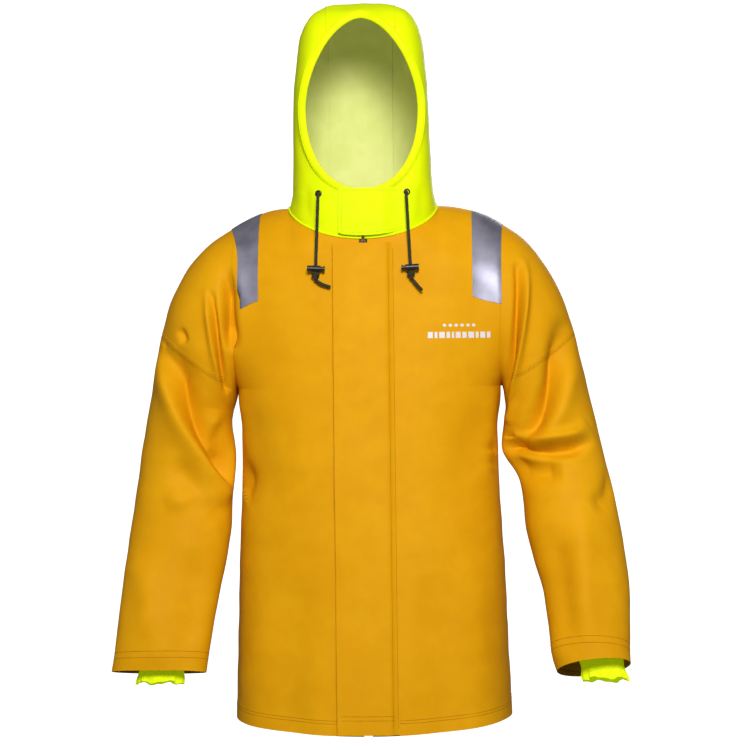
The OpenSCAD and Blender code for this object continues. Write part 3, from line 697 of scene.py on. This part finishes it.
def hood_at(x, z, front):
    r = np.clip(abs(x) / np.maximum(hood_w(z), 1e-6), 0, 1)
    y = -hood_front(z) * (1 - r**5) ** 0.3 if front else hood_back(z) * (1 - r**2.2) ** 0.5
    return np.stack(np.broadcast_arrays(x, y, z), -1)


def face_edge(z):
    """Half of the face opening's width at each height, and 0 where there is no opening."""
    up = np.clip((z - face_mid) / face_up, 0, 1)
    down = np.clip((face_mid - z) / face_down, 0, 1)
    return face_half * np.where(z > face_mid, (1 - up**1.7) ** (1 / 1.7), (1 - down**2.2) ** (1 / 2.2))


def neck_at(t):
    r = np.sin(t) ** 0.75
    x = (neck_half - 0.5) * r
    front = t < math.pi / 2
    z = np.where(front, neck_z(x, True), neck_z(x, False))
    y = np.where(front, body_y(x, z - 0.01, True), body_y(x, z - 0.01, False))
    return np.stack([x, y, z + 0.6], -1)


def hood_point(t, z):
    """A point of the hood or the collar; t goes from 0 in front to pi at the back."""
    r = np.sin(t) ** 0.75
    w = hood_w(z)
    y = np.where(t < math.pi / 2, -hood_front(z) * (1 - r**5) ** 0.3, hood_back(z) * (1 - r**2.2) ** 0.5)
    place = np.stack(np.broadcast_arrays(w * r, y, z), -1)
    low = hood_point(t, np.full_like(z, hood_low)) if np.any(z < hood_low - 1e-6) else place
    k = np.clip(z / hood_low, 0, 1)[..., None]
    return np.where(z[..., None] < hood_low, mix(neck_at(t), low, k), place)


def hood_turn(x, z):
    return np.arcsin(np.clip(x / hood_w(z), 0, 1) ** (1 / 0.75))


arc = np.linspace(0, math.pi / 2, 26)
crown_start = face_mid + face_up * (1 - (crown_half / face_half) ** 1.7) ** (1 / 1.7)
levels = np.concatenate([
    np.linspace(0, hood_low, 14)[:-1], face_mid - face_down * np.sin(arc[::-1]) ** (2 / 2.2),
    mix(face_mid, crown_start, np.linspace(0, 1, 24))[1:],
    crown_top - (crown_top - crown_start) * (1 - np.linspace(0, 1, 26)[1:]) ** 1.8])
levels[13] = hood_low + 0.6
z = np.repeat(levels[:, None], 60, axis=1)
front_x = np.where(levels > crown_start, crown_half, np.maximum(face_edge(levels) + 5, 2.2))
front_x = np.where(levels < hood_low + 0.5, 2.2, front_x)
start_t = hood_turn(front_x, levels)
end_t = math.pi - hood_turn(np.full_like(levels, crown_half), levels)
t = mix(start_t[:, None], end_t[:, None], np.linspace(0, 1, 60)[None, :])
hood_side = hood_point(t, z)

rows = []
for x in np.linspace(-crown_half, crown_half, 41):
    top = float(np.interp(-abs(x), -np.array([50, 42, 33, 18, 2, 0]), [296, 298.5, 300.5, 302, 302.5, 302.5]))
    brow = face_mid + face_up * (1 - (abs(x) / face_half) ** 1.7) ** (1 / 1.7) + 4
    up = brow + (top - brow) * (1 - (1 - np.linspace(0, 1, 60)) ** 2.2)
    down = top - top * (np.linspace(0, 1, 120)[1:]) ** 2.0
    line = np.vstack([hood_at(x, up, True), hood_at(x, down, False)])
    low = down < hood_low
    foot = neck_at(math.pi - np.arcsin(np.clip(abs(x) / (neck_half - 0.5), 0, 1) ** (1 / 0.75)))
    k = np.clip(down / hood_low, 0, 1)[:, None]
    line[60:] = np.where(low[:, None], mix(foot * [np.sign(x), 1, 1], line[60:], k), line[60:])
    line[60:, 0] = x
    rows.append(spline(line, 110))
crown = np.stack(rows, 1)


def hood_soft(points, normals):
    """The slack of the hood's cloth: soft vertical pleats and uneven waves."""
    x, y, z = points[..., 0], points[..., 1], points[..., 2]
    lift = 1.5 * waves(points * [1, 1, 0.55], 120, 21) + 0.7 * waves(points * [1, 1, 0.3], 46, 23)
    for low, high, lean, depth in ((60, 250, 0.0, -2.4), (40, 170, 0.25, 2.0), (150, 285, -0.2, 1.8)):
        line = abs(x) - 92 + lean * (z - 150) * 0.15
        here = ease((z - low) / 50) * ease((high - z) / 50) * (y < 0)
        lift = lift + depth * np.exp(-((line / 7) ** 2)) * here
    lift = lift - 1.8 * np.exp(-(((abs(x) - 84) / 7) ** 2)) * ease((30 - z) / 20) * (y < 0)
    edge = np.where(z > hood_low, abs(abs(x) - face_edge(z)), 30) + (y > 0) * 40
    above_neck = z - neck_z(np.minimum(abs(x), 108), True)
    return lift * ease(edge / 28 + 0.1) * ease(above_neck / 25 + (y > 0) * 0.5)


grids = [(sway(mirrored(hood_side, side)), False, np.array([0, 0, 120.0])) for side in (1, -1)]
grids.append((sway(crown), False, np.array([0, 0, 120.0])))
plain, _ = shared_normals(grids)
grids = [(points + normals * hood_soft(points, normals)[..., None], wrap, centre)
         for (points, wrap, centre), normals in zip(grids, plain)]
hood_normals, hood_flips = shared_normals(grids)
hood_bend = ("torso", "hood", (0, 0, 0.03), (0, 0, 0.11))
hood_pieces = (("hood_side_piece_left", ["hood_side_left", "collar_left"], (0.30, 0.38), 0.075),
               ("hood_side_piece_right", ["hood_side_right", "collar_right"], (0.30, 0.38), 0.075),
               ("hood_crown_piece", ["hood_crown"], (0.10, 0.56), 0.05))
for (name, nodes, flat, area), grid, normals, flip in zip(hood_pieces, grids, hood_normals, hood_flips):
    panel = cloth(name, grid[0], normals, flip, False, fabric, hi_vis, hi_vis_back)
    placed(panel, nodes, bend=hood_bend)

# the casing round the face: the edge turned back over the drawcord and welded down
low_rim, high_rim = [np.stack([face_half * np.cos(arc) ** (2 / power),
                               face_mid + rise * np.sin(arc) ** (2 / power)], -1)
                     for power, rise in ((2.2, -face_down), (1.7, face_up))]
half_rim = np.concatenate([low_rim[::-1], high_rim[1:]])
half_rim[0, 0] = 3
rim = np.concatenate([half_rim, (half_rim * [-1, 1])[-2::-1]])
rim = spline(np.column_stack([rim, np.zeros(len(rim))]), 200)[:, :2]


def rim_place(x, z):
    return sway(hood_at(x, z, True))


middle = rim_place(rim[:, 0], rim[:, 1])
centre_line = np.array([0, -108, face_mid])
along = np.gradient(middle, axis=0)
along /= np.linalg.norm(along, axis=1)[:, None]
away = middle - centre_line
away -= along * (away * along).sum(1)[:, None]
away[:, 1] *= 0.35
away /= np.linalg.norm(away, axis=1)[:, None]
out = np.cross(along, away)
out *= np.sign(-out[:, 1:2])
angle = np.linspace(0, 2 * math.pi, 20, endpoint=False)
across = 5.2 * np.sign(np.cos(angle)) * abs(np.cos(angle)) ** 0.8
thick = np.where(np.sin(angle) > 0, 2.6, 2.0) * np.sign(np.sin(angle)) * abs(np.sin(angle)) ** 0.7
puff = (1 + 0.10 * waves(middle, 34, 31) + 0.05 * waves(middle, 13, 33))[:, None, None]
rings = (middle[:, None] + (across[None, :, None] + 3.4) * away[:, None]
         + (thick[None, :, None] * puff + 0.9) * out[:, None])
faces = grid_faces(len(rings), len(angle), True)
core = middle[1:, None] * 0.5 + middle[:-1, None] * 0.5 + 3.4 * away[1:, None]
_, casing_flip = side_normals(rings, True, core)
faces = faces[:, ::-1] if casing_flip else faces
caps = [list(range(len(angle))), list(range((len(rings) - 1) * len(angle), len(rings) * len(angle)))]
casing = mesh_object("face_casing_piece", rings.reshape(-1, 3), faces.tolist() + caps, [hi_vis])
placed(casing, ["hood_face_hem"], bend=hood_bend)


def ridge_along(name, path, radius, material, body=None, bend=None):
    """A raised weld or piping along a path."""
    points, faces = tube(path, radius, 8)
    return placed(mesh_object(name, points, faces, [material]), (), body, bend)


points, faces = tube(middle + 3.4 * away + 0.9 * out, 1.7, 8)
hidden_cord = mesh_object("drawcord_in_casing", points, faces, [braid])
placed(hidden_cord, ["drawcord_in_hem"], bend=hood_bend)
weld_line = middle + 9.2 * away + 1.0 * out
ridge_along("face_casing_weld", weld_line, 0.75, hi_vis, bend=hood_bend)
crown_points, crown_out = grids[2][0], hood_normals[2]
for column, name in ((0, "right"), (-1, "left")):
    seam = crown_points[3:-2, column] + 0.2 * crown_out[3:-2, column]
    ridge_along("crown_seam_" + name, seam, 1.1, hi_vis, bend=hood_bend)
    inner = slice(0, 6) if column == 0 else slice(-6, None)
    tape = crown_points[3:-2, inner] - (fabric + 0.5) * crown_out[3:-2, inner]
    strip = cloth("crown_seam_tape_" + name, tape, crown_out[3:-2, inner], hood_flips[2], False, 0.4,
                  hi_vis_back, hi_vis_back)
    placed(strip, bend=hood_bend)
neck_rows = {"left": (grids[0][0][0], hood_normals[0][0]), "right": (grids[1][0][0], hood_normals[1][0]),
             "back": (crown_points[-1], crown_out[-1])}
for name, (points, normals) in neck_rows.items():
    ridge_along("neck_seam_" + name, points + 0.8 * normals, 1.7, hi_vis, "torso")

# ---- Chin flap ----------------------------------------------------------------------------------
# A tab of hi-vis fabric, sewn to the left of the collar, that closes over the top of the zip
# with a hook patch on a loop patch.

def collar_at(x, k):
    """A point on the collar's front, from its top edge (k 0) to the neck seam (k 1)."""
    t = np.arcsin(np.clip(abs(x) / (neck_half - 2), 0, 1) ** (1 / 0.75))
    top = hood_point(t, np.full_like(t, hood_low))
    place = mix(top, neck_at(t), k[..., None])
    place[..., 0] = x
    return place


def collar_patch(x0, x1, k0, k1, columns, count, corner=0.0):
    u, k = np.meshgrid(np.linspace(0, 1, columns), np.linspace(0, 1, count))
    x = mix(x0, x1, u)
    shrink = 1 - corner * (1 - ease(u / 0.10)) * (2 * abs(k - 0.5)) ** 6
    k = 0.5 + (k - 0.5) * shrink
    return sway(collar_at(x, mix(k0, k1, k)))


def lifted(grid, lift):
    normals, flips = shared_normals([(grid, False, np.array([0, 0, grid[..., 2].mean()]))])
    moved = grid + normals[0] * np.asarray(lift)[..., None]
    normals, flips = shared_normals([(moved, False, np.array([0, 0, grid[..., 2].mean()]))])
    return moved, normals[0], flips[0]


grid = collar_patch(-35, 54, -0.06, 0.95, 60, 34, 0.04)
reach = grid[..., 0]
height = mix(7.6, 1.6, ease((reach - 24) / 26)) + 0.5 * waves(grid, 60, 41) + 0.25 * waves(grid, 25, 43)
tab, tab_normals, tab_flip = lifted(grid, height)
chin = cloth("chin_flap_piece", tab, tab_normals, tab_flip, False, 1.8, hi_vis, hi_vis)
chin_bend = ("torso", "chin_flap", (0.034, -0.11, -0.02), (0.018, -0.11, -0.02))
placed(chin, ["chin_flap"], bend=chin_bend)

# ---- Thread -------------------------------------------------------------------------------------
# Lockstitch in mustard or hi-vis thread, in pairs of rows along hems and laid-over seams.
thread, surface, graph = new_material("mustard_thread", Roughness=0.6, Specular_IOR_Level=0.1)
feed(surface, graph, Base_Color=noise(graph, 700.0).mixed((0.26, 0.10, 0.001, 1), (0.40, 0.17, 0.002, 1)))
bright_thread, surface, graph = new_material("hi_vis_thread", Roughness=0.6, Specular_IOR_Level=0.1)
feed(surface, graph, Base_Color=noise(graph, 700.0).mixed((0.55, 0.72, 0.01, 1), (0.72, 0.9, 0.02, 1)))


stitch_pitch, stitch_length, thread_half = 3.4, 2.5, 0.42
stitch_faces = [[0, 1, 4, 3], [1, 2, 5, 4], [3, 4, 7, 6], [4, 5, 8, 7], [2, 0, 3, 5], [5, 3, 6, 8],
                [0, 2, 1], [6, 7, 8]]


def stitches(name, lines, material, body=None, bend=None):
    """Rows of stitches: each line is (points, normals) on the face of the cloth."""
    parts = []
    for points, normals in lines:
        gaps = np.linalg.norm(np.diff(points, axis=0), axis=1)
        far = np.concatenate([[0], np.cumsum(gaps)])
        for at in np.arange(stitch_pitch, far[-1] - stitch_pitch, stitch_pitch):
            place = np.array([[np.interp(at + d, far, points[:, i]) for i in range(3)]
                              for d in (-stitch_length / 2, 0, stitch_length / 2)])
            up = np.array([np.interp(at, far, normals[:, i]) for i in range(3)])
            up /= np.linalg.norm(up)
            across = np.cross(up, place[2] - place[0])
            across *= thread_half / np.linalg.norm(across)
            ring = []
            for p, h, w in zip(place, (0.02, 0.30, 0.02), (0.6, 1, 0.6)):
                low = p + up * (h - 0.12)
                ring += [low - across * w, p + up * (h + 0.22), low + across * w]
            parts.append((np.array(ring), stitch_faces))
    points, faces = joined(parts)
    return placed(mesh_object(name, points, faces, [material]), (), body, bend)


def row_at(points, normals, height):
    """The row of a panel nearest to a height, as a stitch line."""
    row = int(np.argmin(abs(points[..., 2].mean(1) - height)))
    return points[row], normals[row]


stitches("chin_flap_stitching", [(tab[:, 3], tab_normals[:, 3])]
         + [(tab[r, 3:], tab_normals[r, 3:]) for r in (2, -3)],
         bright_thread, bend=chin_bend)
for side, name in side_names.items():
    points, normals, _ = shell[("front", side)]
    hem_rows = [row_at(points, normals, h) for h in (-741, -747)]
    stitches("front_hem_stitching_" + name, hem_rows, thread, "torso")
hem_rows = [row_at(whole, whole_normals, h) for h in (-738, -744)]
stitches("back_hem_stitching", hem_rows, thread, "torso")

# ---- Storm flap ---------------------------------------------------------------------------------
# A double layer of fabric over the zip, sewn along the wearer's left edge and held down along
# the free edge by five hook patches on loop patches.


def front_patch(x0, x1, z0, z1, columns, count):
    z, x = np.meshgrid(np.linspace(z0, z1, count), np.linspace(x0, x1, columns), indexing="ij")
    return sway(np.stack([x, body_y(abs(x), z, True), z], -1))


grid = front_patch(-43.5, 45, -61, -768, 40, 236)
reach = grid[..., 0]
height = mix(9.0, 2.6, ease((reach - 30) / 13))
height = height + (1.1 * waves(grid, 190, 51) + 0.45 * waves(grid, 60, 53)) * (1 - ease((reach - 15) / 30))
height = height + 0.8 * ease((-reach - 34) / 9) * waves(grid * [0, 0, 1], 90, 57)
flap, flap_normals, flap_flip = lifted(grid, height)
flap_piece = cloth("storm_flap_piece", flap, flap_normals, flap_flip, False, 2.1, mustard, mustard)
flap_bend = ("torso", "storm_flap", (0.045, -0.1264, -0.4), (0.033, -0.1264, -0.4))
placed(flap_piece, ["storm_flap"], bend=flap_bend)
stitches("storm_flap_stitching", [(flap[2:-2, c], flap_normals[2:-2, c]) for c in (-2, -5)]
         + [(flap[r, 2:-2], flap_normals[r, 2:-2]) for r in (-8, -10)],
         thread, bend=flap_bend)

# ---- Zip ----------------------------------------------------------------------------------------
# A coarse black moulded zip from the hem to the chin: two woven tapes sewn behind the panels'
# edges, moulded teeth, a slider with its pull, and an inner fly of fabric behind it all.


def black_part(name, colour, rough, bump_scale=1400.0, bump=0.15, **shader):
    made, surface, graph = new_material(name, **shader)
    darker = tuple(c * 0.75 for c in colour)
    feed(surface, graph, Base_Color=noise(graph, 60.0).mixed(darker + (1,), colour + (1,)),
         Roughness=rough + noise(graph, 120.0) * 0.12,
         Normal=graph.node("Bump", {"Height": noise(graph, bump_scale), "Distance": 0.0002,
                                    "Strength": bump}))
    return made


woven, surface, graph = new_material("woven_black_tape", Roughness=0.8, Sheen_Weight=0.3)
place = graph.node("TexCoord", out=3)
weft = graph.node("TexWave", {"Vector": place, "Scale": 420.0}, bands_direction="Z")
warp = graph.node("TexWave", {"Vector": place, "Scale": 420.0}, bands_direction="X")
feed(surface, graph, Base_Color=(weft * warp).mixed((0.012, 0.012, 0.012, 1), (0.035, 0.035, 0.037, 1)),
     Normal=graph.node("Bump", {"Height": weft * 0.5 + warp * 0.5, "Distance": 0.0003, "Strength": 0.5}))
moulded = black_part("moulded_black", (0.018, 0.018, 0.019), 0.34)
stop_black = black_part("cord_stop_black", (0.014, 0.015, 0.017), 0.28)
enamel = black_part("black_enamelled_metal", (0.02, 0.02, 0.022), 0.3, Metallic=0.85)
fuzzy = black_part("hook_and_loop", (0.02, 0.02, 0.02), 0.85, 2400.0, 0.8, Sheen_Weight=0.5)
spring_steel = black_part("spring_steel", (0.55, 0.55, 0.56), 0.25, Metallic=1.0)
fuzzy_bright = black_part("hi_vis_hook_and_loop", (0.62, 0.82, 0.01), 0.85, 2400.0, 0.8, Sheen_Weight=0.5)


def laid(name, patch, lift, thick, material, replaced, body):
    """A flat piece of cloth lying on or behind the front panels."""
    points, normals, flip = lifted(patch, np.full(patch.shape[:2], float(lift)))
    made = cloth(name, points, normals, flip, False, thick, material, material)
    return placed(made, replaced, body)


for side, name in side_names.items():
    patch = front_patch(*sorted((side * 3.2, side * 19.5)), -59, -726, 4, 160)
    laid("zip_tape_piece_" + name, patch, -3.7, 0.8, woven, ["zip_tape_" + name], "torso")
fly = laid("inner_fly_piece", front_patch(-30, 34, -66, -760, 12, 160), -9.2, 1.3,
           mustard_back_with_painted_shade, ["inner_fly"], "torso")
for name, lift, body in (("flap_loop_patch", 2.2, "torso"), ("flap_hook_patch", 5.4, "storm_flap")):
    patches = []
    for top in (-140, -290, -440, -590, -700):
        points, normals, _ = lifted(front_patch(-38, -18, top, top - 50, 8, 14), np.full((14, 8), lift))
        vertices, *faces = thickened(points, normals, False, False, 1.7)
        patches.append((vertices, np.vstack(faces).tolist()))
    points, faces = joined(patches)
    made = mesh_object(name + "_pieces", points, faces, [fuzzy], smooth=False)
    placed(made, [name + "es"], body)
for name, lift, body in (("chin_loop_patch", 3.4, "torso"), ("chin_hook_patch", 5.2, "chin_flap")):
    laid(name + "_piece", collar_patch(-28, -6, 0.25, 0.75, 10, 10), lift, 1.5,
         fuzzy_bright, [name], body)

# ---- Hem and cuff facings -----------------------------------------------------------------------
# Bands of the same fabric sewn inside the hem and inside each outer cuff.
hem_parts = {"left": (*shell[("front", 1)], 8), "right": (*shell[("front", -1)], 8),
             "back": (whole, whole_normals, back_flip, 0)}
for name, (points, normals, flip, first) in hem_parts.items():
    facing = cloth("hem_facing_piece_" + name, (points - (fabric + 0.5) * normals)[-6:-1, first:],
                   normals[-6:-1, first:], flip, False, 1.0, mustard_back_with_painted_shade, mustard_back_with_painted_shade)
    placed(facing, ["hem_facing"], "torso")
for side, name in side_names.items():
    points, normals, flip = shell[("sleeve", side)]
    band = slice(-14, -1)
    facing = cloth("cuff_facing_piece_" + name, (points - (fabric + 0.5) * normals)[band], normals[band],
                   flip, True, 1.0, mustard_back_with_painted_shade, mustard_back_with_painted_shade)
    placed(facing, body="lower_sleeve_" + name)
    closed = [[np.vstack([grid[r], grid[r][:1]]) for grid in (points, normals)] for r in (-5, -7)]
    stitches("cuff_stitching_" + name, closed, thread, "lower_sleeve_" + name)

# ---- Sleeve seams -------------------------------------------------------------------------------
# The seam of the dropped shoulder runs round each sleeve, turned under and double stitched.
seam_lines = {-1: [(321, -176), (306, -188), (275, -212), (244, -234), (222, -248), (208, -252)],
              1: [(318, -178), (304, -190), (276, -214), (250, -232), (228, -246), (212, -252)]}


def on_front(tree, x, z):
    """The place and the outward normal of the cloth that is foremost at x and z, or None."""
    hit, normal, _, _ = tree.ray_cast(Vector((x, -400, z)), Vector((0, 1, 0)))
    return hit and (hit, normal if normal.y < 0 else -normal)


for side, name in side_names.items():
    points = shell[("sleeve", side)][0]
    half = points[:, :arm_rows + 1].reshape(-1, 3)
    tree = BVHTree.FromPolygons(half.tolist(), grid_faces(len(points), arm_rows + 1, False).tolist())
    rows = []
    for offset in (0, 5.2, 8.4):
        curve = spline([(a, b - offset, 0) for a, b in seam_lines[side]], 120)[:, :2]
        found = [on_front(tree, side * x, z) for x, z in curve]
        line = np.array([(*spot[0], *spot[1]) for spot in found if spot])
        rows.append((line[:, :3] + 0.15 * line[:, 3:], line[:, 3:]))
    bend = shoulder_bend(side)
    stitches("drop_shoulder_stitching_" + name, rows[1:], thread, bend=bend)
    ridge_along("drop_shoulder_edge_" + name, rows[0][0] - 0.35 * rows[0][1], 0.7, mustard,
                bend=bend)

# ---- Inner cuffs --------------------------------------------------------------------------------
# Storm cuffs of rib-knitted hi-vis elastic inside each sleeve, gathered, their free edges ruffled.
# the knit's emission is a painted glow that makes the cuffs brighter than the lamps light them
knit, surface, graph = new_material("hi_vis_rib_knit", Roughness=0.85, Specular_IOR_Level=0.1,
                                    Emission_Color=(0.7, 1.0, 0.0, 1), Emission_Strength=0.22)
loops = noise(graph, 1500.0)
feed(surface, graph, Base_Color=noise(graph, 60.0).mixed((0.74, 0.86, 0.004, 1), (0.86, 0.94, 0.01, 1)),
     Normal=graph.node("Bump", {"Height": loops, "Distance": 0.0004, "Strength": 0.6}))
elbow = np.array([283, 5, -395.0])
for side, wrist, half in ((1, (338, -74, -680), 33), (-1, (311, -55, -684), 35)):
    wrist = np.array(wrist, float)
    way = (wrist - elbow) / np.linalg.norm(wrist - elbow)
    back = np.array([0, -way[2], way[1]])
    back /= np.linalg.norm(back)
    q = np.linspace(-62, 20, 42)[:, None]
    a = np.linspace(0, 2 * math.pi, 300, endpoint=False)[None, :]
    ruffle = 1.5 * np.sin(9 * a + 0.4) + 1.1 * np.sin(14 * a + 1.3 + q / 30) + 0.5 * np.sin(23 * a)
    ruffle = ease((q + 8) / 26) * ruffle
    width = half - 2.5 * np.exp(-(((q - 2) / 10) ** 2)) + 0.45 * np.sin(75 * a) + ruffle
    reach = q + ease((q + 5) / 25) * (1.8 * np.sin(5 * a + 1) + 0.9 * np.sin(11 * a))
    rings = (wrist + reach[..., None] * way - back * (width * 0.72 * np.sin(a))[..., None]
             + np.stack([width * np.cos(a), 0 * width, 0 * width], -1))
    rings = mirrored(rings, side)
    centre = mirrored(wrist + q[:, :, None] * way, side)
    normals, flips = shared_normals([(rings, True, (centre[1:] + centre[:-1]) / 2)])
    name = side_names[side]
    cuff = cloth("inner_cuff_piece_" + name, rings, normals[0], flips[0], True, 1.6, knit, knit)
    placed(cuff, ["inner_cuff_" + name], "inner_cuff_" + name)

# ---- Reflective tapes ---------------------------------------------------------------------------
# A strip of silver glass-bead tape is heat-sealed over each shoulder, cut on the slant in front.
silver, surface, graph = new_material("glass_bead_tape", Roughness=0.42, Metallic=0.55)
# the lighter and darker patches this noise gives the tape's colour are painted sheen; it also varies the
# roughness
sheen = noise(graph, 16.0, 3.0)
beads = noise(graph, 3200.0, 1.0)
feed(surface, graph, Base_Color=sheen.ramped(0.35, 0.65).mixed((0.20, 0.19, 0.24, 1), (0.34, 0.33, 0.41, 1)),
     Roughness=0.36 + sheen * 0.2,
     Normal=graph.node("Bump", {"Height": beads, "Distance": 0.0001, "Strength": 0.35}))
tape_cut = {-1: [(0, -144), (0.35, -150), (1, -163)], 1: [(0, -143), (0.45, -152), (1, -158)]}
tape_edges = {-1: ((156, 158), (187, 204)), 1: ((157, 156), (199, 201))}
for side in (1, -1):
    parts = []
    for key in (("front", side), ("back", side), ("sleeve", side)):
        points = shell[key][0][:60] if key[0] == "sleeve" else shell[key][0]
        parts.append((points.reshape(-1, 3), grid_faces(*points.shape[:2], key[0] == "sleeve").tolist()))
    tree = BVHTree.FromPolygons(*joined([(a.tolist(), b) for a, b in parts]))
    (low_in, top_in), (low_out, top_out) = tape_edges[side]
    grid, outward = [], []
    for u in np.linspace(0, 1, 18):
        column, lifts = [], []
        low_z = np.interp(u, *zip(*tape_cut[side]))
        first = math.atan2(low_z + 90, 96)
        for angle_up in np.linspace(first, math.pi + 0.5, 70):
            near = ease(angle_up / (math.pi / 2))
            x = side * mix(mix(low_in, low_out, u), mix(top_in, top_out, u), near)
            way = Vector((0, -math.cos(angle_up), math.sin(angle_up)))
            hit, normal, _, _ = tree.ray_cast(Vector((x, 0, -90)), way)
            if hit is None:
                hit, normal = Vector((x, 0, -90)) + way * 60, way
            column.append(hit)
            lifts.append(normal if normal.dot(way) > 0 else -normal)
        grid.append(column)
        outward.append(lifts)
    grid, outward = np.array(grid).transpose(1, 0, 2), np.array(outward).transpose(1, 0, 2)
    moved = grid + outward * 0.9
    normals, flips = shared_normals([(moved, False, np.array([side * 178, 0, -90.0]))])
    name = side_names[side]
    tape = cloth("reflective_tape_piece_" + name, moved, normals[0], flips[0], False, 0.35, silver, silver)
    placed(tape, ["reflective_tape_" + name], "torso")

# ---- Chest print --------------------------------------------------------------------------------
# A pale transfer print on the left of the chest, here a plain row of dots over a row of short bars.
print_white, surface, graph = new_material("transfer_print", Roughness=0.5)
feed(surface, graph, Base_Color=noise(graph, 900.0).mixed((0.66, 0.60, 0.58, 1), (0.86, 0.82, 0.84, 1)))
points, normals, _ = shell[("front", 1)]
tree = BVHTree.FromPolygons(points.reshape(-1, 3).tolist(), grid_faces(*points.shape[:2], False).tolist())


def printed(shape):
    """A flat shape laid on the chest, from a list of x and z."""
    found = [on_front(tree, x, z) for x, z in shape]
    return np.array([tuple(hit + normal * 0.22) for hit, normal in found])


marks = []
for i in range(6):
    ring = [(116 + i * 8.4 + 2.6 * math.cos(b), -181.5 + 2.3 * math.sin(b))
            for b in np.linspace(0, 2 * math.pi, 17)[:-1]]
    marks.append((printed(ring), [list(range(16))[::-1]]))
bar_x = 92.0
for width in (7, 4, 8, 5, 3, 7, 6, 8, 4, 7, 5):
    shape = [(bar_x, -191), (bar_x + width, -191), (bar_x + width, -200), (bar_x, -200)]
    marks.append((printed(shape), [[0, 1, 2, 3]]))
    bar_x += width + 2.6
points, faces = joined(marks)
chest_print = mesh_object("chest_print", points, faces, [print_white], smooth=False)
thicker = chest_print.modifiers.new("film", "SOLIDIFY")
thicker.thickness = 0.0002
placed(chest_print, body="torso")

# ---- Hanger loop and hard parts -----------------------------------------------------------------
# A loop of black webbing is sewn inside the back of the neck; the moulded and metal parts keep
# the shapes that they were made with.
loop_x = np.linspace(-30, 30, 41)
loop_y = 63.5 + 5.5 * ease((abs(loop_x) - 22) / 8) - 1.6 * np.cos(loop_x / 30 * math.pi / 2)
band = np.stack([np.stack([loop_x - 11.9, loop_y, np.full(41, z)], -1) for z in (15.5, 13, 10.5, 8)])
normals, flips = shared_normals([(band, False, np.array([0, 0, 12.0]))])
hanger = cloth("hanger_loop_piece", band, normals[0], flips[0], False, 1.1, woven, woven)
placed(hanger, ["hanger_loop"], "torso")

kept_parts = {"eyelet": enamel, "cord_stop": stop_black, "stop_button": stop_black,
              "stop_spring": spring_steel, "zip_teeth": moulded, "zip_top": moulded,
              "zip_bottom": moulded, "zip_slider": enamel, "zip_pull": enamel}
for name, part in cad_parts.items():
    for start, finish in kept_parts.items():
        if name.startswith(start):
            part.data.materials.clear()
            part.data.materials.append(finish)
for side in (1, -1):
    cord_end, knot, curve = cord_pieces[side]
